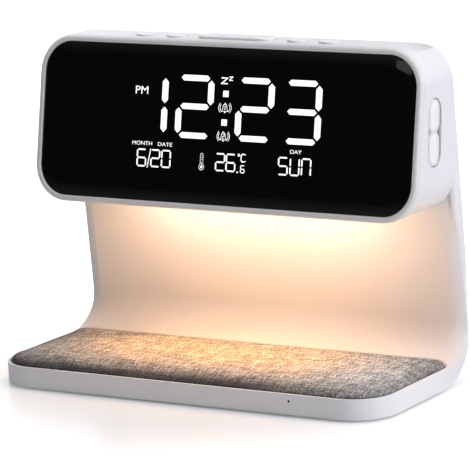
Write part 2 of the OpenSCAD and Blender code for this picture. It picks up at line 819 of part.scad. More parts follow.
module base_cover() color("whitesmoke") difference() {
    union() {
        translate([0, 0, base_gap]) linear_extrude(base_cover_t) cover_outline(gap);
        for (sx = [-1, 1], sy = [-1, 1]) translate([0, 0, base_gap + base_cover_t/2]) {
            translate([sx*(carrier_w/2 - pillar_in), sy < 0 ? pillar_front_y : pillar_back_y])
                cylinder(h = carrier_top - carrier_t - base_gap - base_cover_t/2, d = pillar_d);
            translate([charger_x + sx*(charger_w/2 - pillar_in), rest_y + sy*(charger_l/2 - 2*pillar_in)])
                cylinder(h = charger_z - base_gap - base_cover_t/2, d = pillar_d);
        }
    }
    for (s = [-1, 1], y = [foot_front_y, foot_back_y]) translate([s*foot_x, y, base_gap - over])
        cylinder(h = foot_sink + over, d = foot_d + 2*snug);
    for (s = [-1, 1], y = [boss_front_y, boss_back_y]) translate([s*boss_xs, y, base_gap - over]) {
        cylinder(h = base_cover_t + 2*over, d = screw_d + 2*snug);
        cylinder(h = screw_head_h + over, d = screw_head_d + 2*snug);
    }
}

module rubber_feet() color("dimgray") {
    for (s = [-1, 1], y = [foot_front_y, foot_back_y]) translate([s*foot_x, y, 0])
        cylinder(h = base_gap + foot_sink, d = foot_d);
}

// ---- Display ----

module display_lens() color([0.03, 0.03, 0.035]) face_plate(lens_w, lens_h, lens_r, 0, lens_t);

module lcd_panel() color([0.1, 0.1, 0.12]) face_plate(lcd_w, lcd_h, 1, lens_t + fit, frame_t, lcd_mid);

module display_chassis() color("lightgray") difference() {
    union() {
        intersection() {
            face_plate(skirt_w - 2*(skirt_t + gap), skirt_h - 2*(skirt_t + gap), skirt_r - skirt_t - gap,
                frame_t, frame_t + flange_t, skirt_mid);
            face_slab(-over, frame_t + flange_t + over, chassis_top);
        }
        face_plate(guide_w + 2*(snug + tray_side_t), guide_h + 2*(snug + tray_t), 2,
            frame_t + flange_t/2, main_board_y, lcd_mid);
    }
    face_plate(lcd_w - 2*lcd_seat, lcd_h - 2*lcd_seat, 1, frame_t - over, frame_t + flange_t + over, lcd_mid);
    face_plate(guide_w + 2*snug, guide_h + 2*snug, 1, frame_t + flange_t, guide_back + over, lcd_mid);
    for (p = frame_screw_points()) head_hole(p, frame_t - over, frame_t + flange_t + over, screw_d/2 + snug);
    for (p = board_screw_points()) head_hole(p, frame_t + flange_t, guide_back + over, pilot_r);
}

function board_screw_points() = [
    for (s = [-1, 1], z = [-1, 1]) [s*(guide_w/2 + snug + tray_side_t/2), lcd_mid + z*(guide_h/2 - 8)]
];

module light_guide() color([0.9, 0.95, 0.98])
    face_plate(guide_w, guide_h, 1, frame_t + flange_t, guide_back, lcd_mid);

module main_board() color("darkgreen") {
    difference() {
        face_plate(main_board_w, main_board_h, 2, main_board_y, main_board_back, main_board_mid);
        for (p = board_screw_points())
            head_hole(p, main_board_y - over, main_board_back + over, screw_d/2 + snug);
    }
    // Chips and connectors: [x, z, width, depth, height], and capacitors at the given x
    plug_z = 3.5 - main_board_h/2;
    blocks = [
        [-58, -6, 12, 1.2, 12], [-22, 2, 8, 1.4, 8], [26, plug_z, 14, 2.6, 5], [-12, plug_z, 16, 2.6, 5]
    ];
    capacitor_xs = [-36, -28, 10];
    capacitor_z = -8;
    capacitor_d = 5;
    head_place() translate([0, main_board_back - fit, main_board_mid]) {
        for (b = blocks) translate([b[0], 0, b[1]]) cube([b[2], b[3] + fit, b[4]]);
        for (x = capacitor_xs) translate([x, 0, capacitor_z]) rotate([-90, 0, 0])
            cylinder(h = capacitor_d + fit, d = capacitor_d);
    }
}

module temperature_sensor() color("saddlebrown") head_place() {
    lead_l = 6;
    lead_d = 0.5;
    bead_l = 3;
    bead_d = 2.6;
    translate([-4, main_board_back, main_board_mid + main_board_h/2 - 8]) rotate([-90, 0, 0]) {
        for (s = [-1, 1]) translate([s*(bead_d/2 - lead_d), 0, 0])
            cylinder(h = lead_l + fit, d = lead_d, $fn = 16);
        translate([0, 0, lead_l]) cylinder(h = bead_l, d = bead_d);
    }
}

// ---- Top buttons ----

// A round button: cap, flange under the top wall and stem over its switch
module top_button(x) translate([x, button_y, 0]) {
    translate([0, 0, lip_bottom]) cylinder(h = body_h - lip_bottom, d = button_d);
    translate([0, 0, lip_bottom]) cylinder(h = lip_top - lip_bottom, r = lip_r);
    translate([0, 0, stem_bottom]) cylinder(h = lip_bottom - stem_bottom + flange_h/2, d = stem_d);
}

module alarm_button() color("white") top_button(button_xs[0]);
module time_button() color("white") top_button(button_xs[1]);
module light_button() color("white") top_button(button_xs[2]);
module volume_button() color("white") top_button(button_xs[3]);

module snooze_bar() color("white") translate([0, snooze_y, 0]) {
    translate([0, 0, lip_bottom]) linear_extrude(body_h - snooze_drop - lip_bottom)
        rotate(90) pill(snooze_l, snooze_w);
    translate([0, 0, lip_bottom]) linear_extrude(lip_top - lip_bottom)
        rotate(90) pill(snooze_l + 2*button_lip, snooze_w + 2*button_lip);
    translate([0, button_y - snooze_y, stem_bottom])
        cylinder(h = lip_bottom - stem_bottom + flange_h/2, d = stem_d);
}

module button_board() color("darkgreen") difference() {
    translate([-button_board_w/2, button_y - button_board_d/2 + 1, button_board_top - button_board_t])
        cube([button_board_w, button_board_d, button_board_t]);
    for (s = [-1, 1], x = post_xs) translate([s*x, post_y, button_board_top - button_board_t - over])
        cylinder(h = button_board_t + 2*over, r = screw_d/2 + snug);
}

module button_switches() color("dimgray") {
    for (x = concat(button_xs, [0])) translate([x, button_y, button_board_top]) push_switch();
}

module button_cable() color("silver") {
    plug_l = 5;
    low = head_pt(0, main_board_back + ribbon_t/2, main_board_mid + main_board_h/2 - 2*plug_l);
    under_board = button_board_top - button_board_t;
    ribbon([
        [button_y + 5, under_board - ribbon_t/2],
        [button_y + 2, under_board - 2],
        [low[1] + 2, low[2] + 3],
        [low[1], low[2]],
        [low[1] - plug_l*sin(tilt), low[2] - plug_l*cos(tilt)]
    ], ribbon_w - 2, ribbon_t, -button_out_x + 8);
}

// ---- Side rocker ----

module side_rocker() color("white") rocker_place() difference() {
    union() {
        across_x(-rocker_t, 0) pill(rocker_l, rocker_w);
        for (s = [-1, 1]) translate([-pin_depth - pin_d, s*lug_x - lug_w/2, -pin_d])
            cube([pin_depth + pin_d - rocker_t/2, lug_w, 2*pin_d]);
        for (s = [-1, 1]) translate([-rocker_switch_x + rocker_dip, 0, s*rocker_press]) rotate([0, 90, 0])
            cylinder(h = rocker_switch_x - rocker_dip - rocker_t/2, d = stem_d);
    }
    translate([-pin_depth, 0, 0]) rotate([90, 0, 0])
        cylinder(h = rocker_w, d = pin_d + 2*fit, center = true, $fn = 48);
}

module rocker_pin() color("silver") rocker_place() translate([-pin_depth, 0, 0]) rotate([90, 0, 0])
    cylinder(h = 2*(cheek_x + cheek_w), d = pin_d, center = true, $fn = 48);

module rocker_bracket() color("gainsboro") intersection() {
    half_w = cheek_x + cheek_w;
    rise = bracket_depth - wall - snug;
    rocker_place() difference() {
        union() {
            translate([-bracket_depth, -rocker_w/2, -bracket_l/2]) cube([bracket_t, rocker_w, bracket_l]);
            translate([-bracket_depth, -half_w, -2*pin_d]) cube([bracket_t, 2*half_w, 4*pin_d]);
            for (y = [-half_w, cheek_x]) translate([-bracket_depth, y, -2*pin_d])
                cube([rise, cheek_w, 4*pin_d]);
            for (z = [-bracket_l/2, bracket_l/2 - bracket_foot]) translate([-bracket_depth, -rocker_w/2, z])
                cube([rise, rocker_w, bracket_foot]);
        }
        translate([-pin_depth, 0, 0]) rotate([90, 0, 0])
            cylinder(h = 3*half_w, d = pin_d + 2*fit/2, center = true, $fn = 48);
    }
    along_y(-body_d, body_d) bracket_room();
}

// The inside of the head seen from the front, in which the bracket's feet stand
module bracket_room() translate([0, (body_h + head_under)/2])
    rounded_rect(body_w - 2*(wall + snug), body_h - head_under - 2*(wall + snug), head_r - wall - snug);

module rocker_board() color("darkgreen") rocker_place() {
    board_l = bracket_l - 2*bracket_foot - 2*snug;
    translate([-rocker_board_x, -rocker_w/2, -board_l/2]) cube([rocker_board_t, rocker_w, board_l]);
    for (s = [-1, 1]) translate([rocker_board_t - rocker_board_x, 0, s*rocker_press]) rotate([0, 90, 0])
        push_switch();
}

module rocker_cable() color("silver") {
    plug = head_pt(main_board_w/2 - 4, main_board_back + wire_d/2, main_board_mid + 6);
    for (dz = [0, 1.6*wire_d]) wire([
        [body_w/2 - bracket_depth - wire_d/2, rocker_y + 4*wire_d, rocker_z + dz],
        [body_w/2 - bracket_depth - 4*wire_d, rocker_y + 3*wire_d, rocker_z + dz],
        plug + [0, 2*wire_d, 0] + dz*head_up,
        plug + dz*head_up,
        plug - [2*wire_d, 0, 0] + dz*head_up
    ], wire_d);
}

// ---- Lamp ----

module lamp_reflector() color("white") difference() {
    translate([-reflector_w/2, reflector_y, lamp_floor]) cube([reflector_w, reflector_d, reflector_h]);
    translate([reflector_t - reflector_w/2, reflector_y + reflector_t, lamp_floor - over])
        cube([reflector_w - 2*reflector_t, reflector_d - 2*reflector_t, reflector_h - reflector_t + over]);
}

module lamp_board() color("silver") {
    translate([-lamp_board_w/2, reflector_mid - lamp_board_d/2, lamp_board_bottom])
        cube([lamp_board_w, lamp_board_d, lamp_board_t]);
}

module lamp_chips() color("gold") {
    for (i = [0:chip_count - 1])
        translate([(i - (chip_count - 1)/2)*chip_pitch, reflector_mid, lamp_board_bottom - chip_h/2])
            cube([chip_w, chip_d, chip_h], center = true);
}

module lamp_wires() color("firebrick") {
    for (x = [-5.2*wire_d, -2.8*wire_d]) {
        plug = head_pt(x, main_board_back + wire_d/2, main_board_mid - main_board_h/2 + 11);
        wire([
            [x, reflector_mid, reflector_top + wire_d/2],
            [x, reflector_mid - 6*wire_d, reflector_top + 2*wire_d],
            plug + wire_d*[0, 2.5, -2],
            plug,
            plug + 2*wire_d*head_up
        ], wire_d);
    }
}

// ---- Speaker, inlet and coin cell, all on the rear cover ----

module speaker() color("dimgray") {
    rear_disc(speaker_x, speaker_rise, -speaker_back, -wall - fit, speaker_d/2);
    rear_place() translate([speaker_x, fit - speaker_back, speaker_rise]) rotate([90, 0, 0])
        cylinder(h = cone_l, r1 = speaker_d/2 - clamp_ring - gap, r2 = speaker_d/4);
    rear_disc(speaker_x, speaker_rise, -magnet_back, cone_l/6 - cone_l - speaker_back, magnet_r);
}

module speaker_clamp() color("gainsboro") difference() {
    union() {
        clamp_disc(speaker_x, 0, speaker_d/2 + gap);
        for (x = clamp_xs) clamp_disc(x, 0, boss_d/2);
        rear_place() translate([clamp_xs[0], -speaker_back - clamp_t, speaker_rise - boss_d/2])
            cube([clamp_xs[1] - clamp_xs[0], clamp_t, boss_d]);
    }
    clamp_disc(speaker_x, over, speaker_d/2 - clamp_ring);
    for (x = clamp_xs) clamp_disc(x, over, screw_d/2 + snug);
}

module clamp_disc(x, past, r) {
    rear_disc(x, speaker_rise, -speaker_back - clamp_t - past, past - speaker_back, r);
}

module speaker_wires() color("firebrick") {
    start = rear_pt(speaker_x, -magnet_back - wire_d/2, speaker_rise);
    plug = head_pt(speaker_x - speaker_plug[0], main_board_back + wire_d/2, main_board_mid - speaker_plug[1]);
    for (s = [-1, 1]) {
        side = [s*1.2*wire_d, 0, 0];
        wire([
            start + side + 3*wire_d*rear_up, start + side - wire_d*[0, 1, 2],
            plug + side + wire_d*[3, 1, 1], plug + side, plug + side - 3*wire_d*head_up
        ], wire_d);
    }
}

module inlet_socket() color("silver") rear_place() translate([0, 0, inlet_rise]) {
    difference() {
        along_y(-socket_l, -snug) rounded_rect(socket_w, socket_h, socket_r);
        along_y(2*socket_wall - socket_l, over)
            rounded_rect(socket_w - 2*socket_wall, socket_h - 2*socket_wall, socket_r - socket_wall);
    }
    translate([-tongue[0]/2, socket_wall - socket_l, -tongue[2]/2]) cube(tongue);
}

module inlet_board() color("darkgreen") rear_place()
    translate([-inlet_board_w/2, -wall - inlet_board_l - gap, inlet_board_z])
    cube([inlet_board_w, inlet_board_l, inlet_board_t]);

module inlet_wires() color("firebrick") {
    start = rear_pt(wire_start, -wall - inlet_board_l + 2*wire_d, inlet_board_z + inlet_board_t + wire_d/2);
    plug = head_pt(-inlet_plug[0], main_board_back + wire_d/2, main_board_mid - inlet_plug[1]);
    for (s = [-1, 1]) {
        side = [s*1.3*wire_d, 0, 0];
        wire([
            start + side, start + side + wire_d*[0, -4, 1],
            plug + side + wire_d*[2, 2, 0], plug + side, plug + side + 3*wire_d*head_up
        ], wire_d);
    }
}

module cell_door() color("whitesmoke") difference() {
    union() {
        rear_disc(-cell_x, cell_rise, -wall, 0, door_d/2);
        rear_disc(-cell_x, cell_rise, gap - cell_front, -wall/2, door_d/2 - 3);
        rear_place() translate([-cell_x - door_d/2 - door_lug, -door_lug_back, cell_rise - door_lug_w/2])
            cube([door_d + 2*door_lug, door_lug_t, door_lug_w]);
        rear_disc(-cell_x, cell_rise, -door_lug_back, -wall/2, door_d/2 - 2*gap);
    }
    rear_place() translate([-cell_x - coin_slot[0]/2, -coin_slot[1], cell_rise - coin_slot[2]/2])
        cube([coin_slot[0], coin_slot[1] + over, coin_slot[2]]);
}

module cell_holder() color("gainsboro") difference() {
    lug_r = door_d/2 + door_lug + gap;
    union() {
        rear_disc(-cell_x, cell_rise, -holder_lug_depth, -wall - fit, lug_r + holder_wall);
        rear_disc(-cell_x, cell_rise, -cell_back - contact_t - holder_wall, fit - holder_lug_depth,
            lug_r + holder_wall);
    }
    rear_disc(-cell_x, cell_rise, -holder_lug_depth, over, lug_r);
    rear_disc(-cell_x, cell_rise, -cell_back - contact_t, over, cell_d/2 + gap);
}

module coin_cell() color("silver") {
    rear_disc(-cell_x, cell_rise, -cell_back, -cell_front - cell_t/4, cell_d/2);
    rear_disc(-cell_x, cell_rise, -cell_front - cell_t/2, -cell_front, cell_d/2 - 1);
}

module cell_contacts() color("goldenrod") {
    rear_disc(-cell_x, cell_rise, -cell_back - contact_t, -cell_back, cell_d/2 - 2);
}

// ---- Base ----

module ballast_plate() color("slategray") translate([ballast_x, rest_y, cover_top])
    linear_extrude(ballast_t) rounded_rect(ballast_w, ballast_l, 4);

module charger_board() color("darkgreen") translate([charger_x, rest_y, charger_z]) {
    translate([-charger_w/2 + gap, -charger_l/2 + gap, 0])
        cube([charger_w - 2*gap, charger_l - 2*gap, charger_t]);
    // Chip, inductor, indicator lamp and cable connector: [x, y, width, depth, height]
    blocks = [
        [-12, -6, 8, 8, 1.2], [0, 0, 6, 6, 1.6],
        [indicator_x - charger_x - 1, 1.8 - charger_l/2, 2, 1.4, 1.3],
        [ribbon_x - charger_x - ribbon_w/2, charger_l/2 - 9, ribbon_w, 3, 1.0]
    ];
    for (b = blocks) translate([b[0], b[1], charger_t - fit]) cube([b[2], b[3], b[4]]);
}

module light_pipe() color("ghostwhite") translate([indicator_x, -body_d/2, indicator_z]) rotate([-90, 0, 0])
    cylinder(h = pipe_end + body_d/2, d = indicator_d, $fn = 24);

module coil_carrier() color("gainsboro") difference() {
    translate([-carrier_w/2, -coil_y - carrier_l/2, carrier_top - carrier_t])
        cube([carrier_w, carrier_l, carrier_t]);
    translate([-carrier_slot[0]/2, -coil_y - carrier_slot[1]/2, carrier_top - carrier_t - over])
        cube([carrier_slot[0], carrier_slot[1], carrier_t + 2*over]);
}

module ferrite_sheet() color([0.2, 0.2, 0.22])
    translate([-ferrite_w/2, -coil_y - ferrite_w/2, carrier_top]) cube([ferrite_w, ferrite_w, ferrite_t]);

module charging_coil() color("chocolate") translate([0, -coil_y, ferrite_top]) difference() {
    cylinder(h = coil_t, d = coil_d);
    translate([0, 0, -over]) cylinder(h = coil_t + 2*over, d = coil_bore);
}

module coil_wires() color("chocolate") {
    d = 0.5;
    z = ferrite_top + coil_t/2;
    low = (carrier_top + floor_bottom)/2;
    for (s = [-1, 1]) {
        y = s*2 - coil_y;
        x = sqrt(coil_d*coil_d/4 - 4);
        wire([
            [x, y, z], [ferrite_w/2 + 1, y, z], [ferrite_w/2 + 1.4, y, low], [carrier_w/2 + 0.5, y, low],
            [charger_x - charger_w/2 + 3, y - 2, charger_top + d/2]
        ], d);
    }
}

module pad_plate() color("gainsboro") translate([0, 0, pad_floor]) linear_extrude(pad_plate_t)
    deck(recess_w - 2*snug, recess_front + snug, recess_back - snug, recess_front_r - snug, pad_back_r);

// The pad: full outline up to the rim, then a rolled edge up to a flat top
module fabric_pad() color("gray") intersection() {
    front = recess_front + snug;
    back = recess_back - snug;
    half_w = recess_w/2 - snug;
    translate([0, 0, pad_plate_top]) linear_extrude(pad_top)
        deck(2*half_w, front, back, recess_front_r - snug, pad_back_r);
    along_x(body_w) polygon(pad_section(front, back));
    along_y(-body_d, body_d) polygon(pad_section(-half_w, half_w));
}

function pad_section(a, b) = let (h = pad_top - pad_side) concat(
    [[a, pad_plate_top], [b, pad_plate_top]],
    [for (k = [0:arc_steps]) let (w = 90*k/arc_steps) [b - pad_roll*(1 - cos(w)), pad_side + h*sin(w)]],
    [for (k = [arc_steps:-1:0]) let (w = 90*k/arc_steps) [a + pad_roll*(1 - cos(w)), pad_side + h*sin(w)]]
);

// The ribbon follows the inside of the bend and of the rear cover, then crosses to the main board
module stem_ribbon() color("silver") {
    start_y = rest_y + charger_l/2;
    track_r = bend_out_r - wall - gap - ribbon_t/2;
    leave = rear_pt(0, -wall - gap - ribbon_t/2, lamp_seam - back_z0 - 1);
    plug = head_pt(0, main_board_back + ribbon_t/2, (reflector_top - head_under + 5)/cos(tilt));
    plug_l = 5;
    ribbon(concat(
        [[start_y - 6, charger_top + 1 + ribbon_t/2], [start_y + 1, charger_top + 0.6]],
        [for (a = [-75:8:-3]) [bend_y + track_r*cos(a), bend_z + track_r*sin(a)]],
        [
            [bend_y + track_r*cos(lean), bend_z + track_r*sin(lean)],
            [leave[1], leave[2]],
            [leave[1] - 3, reflector_top + 1],
            [leave[1] - 8, reflector_top + 2],
            [plug[1] + 4, reflector_top + 2],
            [plug[1] + 1, plug[2] - 1.5],
            [plug[1], plug[2]],
            [plug[1] + plug_l*sin(tilt), plug[2] + plug_l*cos(tilt)]
        ]
    ), ribbon_w, ribbon_t, ribbon_x);
}

// ---- Fasteners ----

module rear_screws() color("silver") {
    for (s = [-1, 1], i = [0:2]) rear_place()
        translate([s*rear_screw_x, -screw_head_h, rear_screws_z[i]]) rotate([90, 0, 0])
        screw((i == 0 ? stem_room : head_boss_l - 1) + wall - screw_head_h - fit);
}

module base_screws() color("silver") {
    for (s = [-1, 1], y = [boss_front_y, boss_back_y]) translate([s*boss_xs, y, base_gap + screw_head_h])
        screw(floor_bottom - base_gap - screw_head_h - fit);
}

module frame_screws() color("silver") {
    for (p = frame_screw_points()) head_place() translate([p[0], frame_t + flange_t, p[1]]) rotate([90, 0, 0])
        screw(flange_t + frame_t - lens_t - 2*fit);
}

module board_screws() color("silver") {
    for (p = board_screw_points()) head_place() translate([p[0], main_board_back, p[1]]) rotate([90, 0, 0])
        screw(board_t + guide_t);
    for (s = [-1, 1], x = post_xs) translate([s*x, post_y, button_board_top - button_board_t])
        screw(button_board_t + 4);
}

module speaker_screws() color("silver") {
    for (x = clamp_xs) rear_place()
        translate([x, -speaker_back - clamp_t, speaker_rise]) rotate([-90, 0, 0])
        screw(clamp_t + speaker_back - wall/2 - 2*fit);
}

housing();
front_frame();
display_lens();
display_chassis();
lcd_panel();
light_guide();
main_board();
temperature_sensor();
button_board();
button_switches();
button_cable();
alarm_button();
time_button();
light_button();
volume_button();
snooze_bar();
side_rocker();
rocker_pin();
rocker_bracket();
rocker_board();
rocker_cable();
lamp_cover();
lamp_reflector();
lamp_board();
lamp_chips();
lamp_wires();
rear_cover();
speaker();
speaker_clamp();
speaker_wires();
inlet_socket();
inlet_board();
inlet_wires();
cell_door();
coin_cell();
cell_holder();
cell_contacts();
base_cover();
rubber_feet();
ballast_plate();
charger_board();
stem_ribbon();
coil_carrier();
ferrite_sheet();
charging_coil();
coil_wires();
light_pipe();
pad_plate();
fabric_pad();
rear_screws();
base_screws();
frame_screws();
board_screws();
speaker_screws();
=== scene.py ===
import bmesh
import bpy
import numpy as np
from math import radians, pi, sin, cos, tan
from mathutils import Matrix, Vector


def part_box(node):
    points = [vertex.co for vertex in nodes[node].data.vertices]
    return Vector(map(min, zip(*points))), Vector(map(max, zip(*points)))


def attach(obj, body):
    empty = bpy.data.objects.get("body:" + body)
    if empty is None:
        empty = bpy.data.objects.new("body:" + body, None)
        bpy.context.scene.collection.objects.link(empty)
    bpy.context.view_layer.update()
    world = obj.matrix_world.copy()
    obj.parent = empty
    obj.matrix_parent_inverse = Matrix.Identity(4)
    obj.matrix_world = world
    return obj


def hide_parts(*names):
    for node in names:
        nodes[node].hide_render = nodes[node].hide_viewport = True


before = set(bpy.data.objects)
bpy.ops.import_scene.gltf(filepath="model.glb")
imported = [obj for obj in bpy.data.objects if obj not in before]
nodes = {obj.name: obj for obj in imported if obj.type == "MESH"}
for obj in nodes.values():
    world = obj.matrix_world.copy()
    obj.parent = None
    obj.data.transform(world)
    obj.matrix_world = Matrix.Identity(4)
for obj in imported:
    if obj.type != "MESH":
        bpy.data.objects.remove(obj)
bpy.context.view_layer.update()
scene = bpy.context.scene
mm = 0.001
print("clock loaded:", len(nodes), "nodes")


def newPiece(name, data):
    piece = bpy.data.objects.new(name, data)
    scene.collection.objects.link(piece)
    return piece


def readItems(items, key, width=1, kind=float):
    # one property of every item of a mesh, in a row for each item where it has several numbers
    values = np.empty(len(items)*width, dtype=kind)
    items.foreach_get(key, values)
    return values.reshape(-1, width) if width > 1 else values


# camera, as yaw, pitch and roll in degrees, place in mm and focal length on a 36 mm sensor
cameraSet = {"yaw": 31.45, "pitch": 11.35, "roll": -2.52, "place": (803.59, -1304.31, 375.58), "focal": 265.67}


def placeCamera(s):
    yaw, pitch, roll = (radians(s[k]) for k in ("yaw", "pitch", "roll"))
    look = np.array([-sin(yaw)*cos(pitch), cos(yaw)*cos(pitch), -sin(pitch)])
    right = np.array([cos(yaw), sin(yaw), 0.0])
    up = np.cross(right, look)
    side = cos(roll)*right + sin(roll)*up
    top = cos(roll)*up - sin(roll)*right
    data = bpy.data.cameras.new("studioCamera")
    data.lens, data.sensor_width, data.sensor_fit = s["focal"], 36.0, "HORIZONTAL"
    data.clip_start, data.clip_end = 0.05, 60.0
    camera = newPiece("studioCamera", data)
    camera.matrix_world = Matrix([[side[i], top[i], -look[i], s["place"][i]*mm] for i in range(3)] + [[0, 0, 0, 1]])
    scene.camera = camera


placeCamera(cameraSet)
scene.view_settings.view_transform = "Standard"


class Value:
    # one output socket of a node; + - * / ** on it and on numbers add Math nodes

    def __init__(self, maker, socket):
        self.maker, self.socket = maker, socket

    def math(self, operation, *others, first=None):
        a = self if first is None else first
        inputs = {0: a}
        inputs.update({i + 1: o for i, o in enumerate(others)})
        return self.maker.node("ShaderNodeMath", {"operation": operation}, inputs)

    def __add__(self, o): return self.math("ADD", o)
    def __radd__(self, o): return self.math("ADD", o)
    def __sub__(self, o): return self.math("SUBTRACT", o)
    def __rsub__(self, o): return self.math("SUBTRACT", self, first=o)
    def __mul__(self, o): return self.math("MULTIPLY", o)
    def __rmul__(self, o): return self.math("MULTIPLY", o)
    def __truediv__(self, o): return self.math("DIVIDE", o)
    def __pow__(self, o): return self.math("POWER", o)

    def sine(self): return self.math("SINE")
    def floor(self): return self.math("FLOOR")
    def absolute(self): return self.math("ABSOLUTE")
    def atLeast(self, o): return self.math("MAXIMUM", o)

    def ease(self, low, high, out0=0.0, out1=1.0):
        # smooth step from out0 at low to out1 at high
        return self.maker.node("ShaderNodeMapRange", {"interpolation_type": "SMOOTHSTEP"},
                               {0: self, 1: low, 2: high, 3: out0, 4: out1})


class NodeMaker:
    # adds shader nodes to an emptied tree and gives back their outputs as values

    def __init__(self, tree):
        self.tree = tree
        tree.nodes.clear()

    def node(self, kind, settings, inputs, out=0):
        n = self.tree.nodes.new(kind)
        for key, value in settings.items():
            if key == "stops":
                while len(n.color_ramp.elements) < len(value):
                    n.color_ramp.elements.new(0.5)
                for element, (at, colour) in zip(n.color_ramp.elements, value):
                    element.position, element.color = at, tuple(colour) + (1.0,)
            else:
                setattr(n, key, value)
        for key, value in inputs.items():
            if isinstance(value, Value):
                self.tree.links.new(value.socket, n.inputs[key])
            elif isinstance(value, (tuple, list)) and n.inputs[key].type == "RGBA":
                n.inputs[key].default_value = tuple(value)[:3] + (1.0,)
            else:
                n.inputs[key].default_value = value
        return Value(self, n.outputs[out])

    def place(self):
        # position on the object in millimetres, as a vector and as x, y, z
        raw = self.node("ShaderNodeTexCoord", {}, {}, "Object")
        whole = self.node("ShaderNodeVectorMath", {"operation": "SCALE"}, {0: raw, "Scale": 1/mm})
        return whole, [self.node("ShaderNodeSeparateXYZ", {}, {0: whole}, k) for k in range(3)]

    def noise(self, vector, scale, detail=2.0, roughness=0.5):
        return self.node("ShaderNodeTexNoise", {}, {"Vector": vector, "Scale": scale, "Detail": detail,
                                                   "Roughness": roughness}, "Fac")

    def vector(self, x, y, z=0.0):
        return self.node("ShaderNodeCombineXYZ", {}, {0: x, 1: y, 2: z})

    def mix(self, share, a, b):
        return self.node("ShaderNodeMix", {"data_type": "RGBA"}, {0: share, 6: a, 7: b}, 2)

    def ramp(self, value, stops):
        return self.node("ShaderNodeValToRGB", {"stops": stops}, {0: value})

    def bump(self, height, depth):
        return self.node("ShaderNodeBump", {}, {"Height": height, "Distance": depth*mm})


class Finish(NodeMaker):
    # a material round one Principled shader, whose fixed sockets are set from a dictionary

    def __init__(self, name, fixed):
        self.material = bpy.data.materials.new(name)
        self.material.use_nodes = True
        super().__init__(self.material.node_tree)
        self.output = self.tree.nodes.new("ShaderNodeOutputMaterial")
        self.shader = self.tree.nodes.new("ShaderNodeBsdfPrincipled")
        self.tree.links.new(self.shader.outputs[0], self.output.inputs[0])
        for key, value in fixed.items():
            self.shader.inputs[key].default_value = value

    def feed(self, **links):
        names = {"colour": "Base Color", "rough": "Roughness", "metal": "Metallic", "glow": "Emission Color",
                 "normal": "Normal"}
        for key, value in links.items():
            self.tree.links.new(value.socket, self.shader.inputs[names[key]])
        return self.material


def shade(colour, k):
    return tuple(min(1.0, c*k) for c in colour)


def mouldedPlastic(name, colour, rough=0.4, grain=0.02, vary=0.02, coat=0.0):
    # even plastic: slow colour drift, a fine moulded grain and a little change of gloss
    f = Finish(name, {"Coat Weight": coat, "Coat Roughness": 0.08})
    at, _ = f.place()
    drift = f.noise(at, 0.018, 3.0)
    fine = f.noise(at, 2.0, 2.0, 0.6)
    tone = f.mix(drift.ease(0.3, 0.7), shade(colour, 1 - vary), shade(colour, 1 + vary))
    return f.feed(colour=tone, rough=rough - 0.03 + 0.06*drift + 0.04*fine, normal=f.bump(fine, grain))


def brushedMetal(name, colour, rough=0.32, along=0, scratch=0.01):
    # rolled or turned metal: streaks drawn out along one axis
    f = Finish(name, {"Metallic": 1.0})
    at, xyz = f.place()
    stretch = [1.6, 1.6, 1.6]
    stretch[along] = 0.06
    streak = f.noise(f.vector(*[v*s for v, s in zip(xyz, stretch)]), 2.0, 4.0, 0.65)
    stain = f.noise(at, 0.12, 2.0)
    tone = f.mix(streak, shade(colour, 0.82), shade(colour, 1.08))
    return f.feed(colour=tone, rough=rough - 0.08 + 0.12*streak + 0.08*stain, normal=f.bump(streak, scratch))


def circuitBoard(name, ground):
    # lacquered board: copper tracks as raised lighter bands, with plated rings here and there
    f = Finish(name, {"Coat Weight": 0.4, "Coat Roughness": 0.15})
    at, (x, y, z) = f.place()
    cell = f.node("ShaderNodeTexVoronoi", {"feature": "F1"}, {"Vector": at, "Scale": 0.22, "Randomness": 0.9})
    bend = f.noise(at, 0.09, 1.0)
    track = ((x*0.9 + z*0.35 + bend*7.0).sine().absolute()).ease(0.9, 0.97)
    pad = cell.ease(0.34, 0.28)
    tone = f.mix(track*0.6, ground, shade(ground, 1.9))
    tone = f.mix(pad*0.8, tone, (0.75, 0.62, 0.32))
    return f.feed(colour=tone, rough=0.42 - 0.15*pad, metal=pad*0.7, normal=f.bump(track + pad, 0.05))


def softRubber(name, colour):
    f = Finish(name, {"Specular IOR Level": 0.25})
    at, _ = f.place()
    fine = f.noise(at, 3.2, 3.0, 0.7)
    dust = f.noise(at, 0.25, 2.0)
    return f.feed(colour=f.mix(dust.ease(0.35, 0.75), colour, shade(colour, 1.5)), rough=0.72 + 0.16*fine,
                  normal=f.bump(fine, 0.04))


def flatCable(name, colour):
    # ribbon: one groove between every two cores, which are 1 mm apart
    f = Finish(name, {"Specular IOR Level": 0.4})
    at, (x, y, z) = f.place()
    core = (x*(2*pi)).sine()
    fine = f.noise(at, 2.0)
    return f.feed(colour=f.mix(core.ease(-0.9, -0.2), shade(colour, 0.55), colour), rough=0.45 + 0.15*fine,
                  normal=f.bump(core, 0.08))


def woundCopper(name, middle):
    # flat coil seen from above: rings of varnished strand round its middle, 0.9 mm apart
    f = Finish(name, {"Metallic": 0.85})
    at, (x, y, z) = f.place()
    away = ((x - middle[0])**2.0 + (y - middle[1])**2.0)**0.5
    strand = (away*(2*pi/0.9)).sine()
    fine = f.noise(at, 1.5)
    tone = f.mix(strand.ease(-0.8, 0.2), (0.16, 0.05, 0.02), (0.72, 0.3, 0.12))
    return f.feed(colour=tone, rough=0.3 + 0.2*fine, normal=f.bump(strand, 0.2))


smoothAngle, sharpAngle = 38, 30


def dressMesh(mesh, material, angle):
    # smooth faces, sharp edges above the angle, and one material
    mesh.polygons.foreach_set("use_smooth", np.ones(len(mesh.polygons), dtype=bool))
    mesh.set_sharp_from_angle(angle=radians(angle))
    mesh.materials.clear()
    mesh.materials.append(material)
    mesh.update()


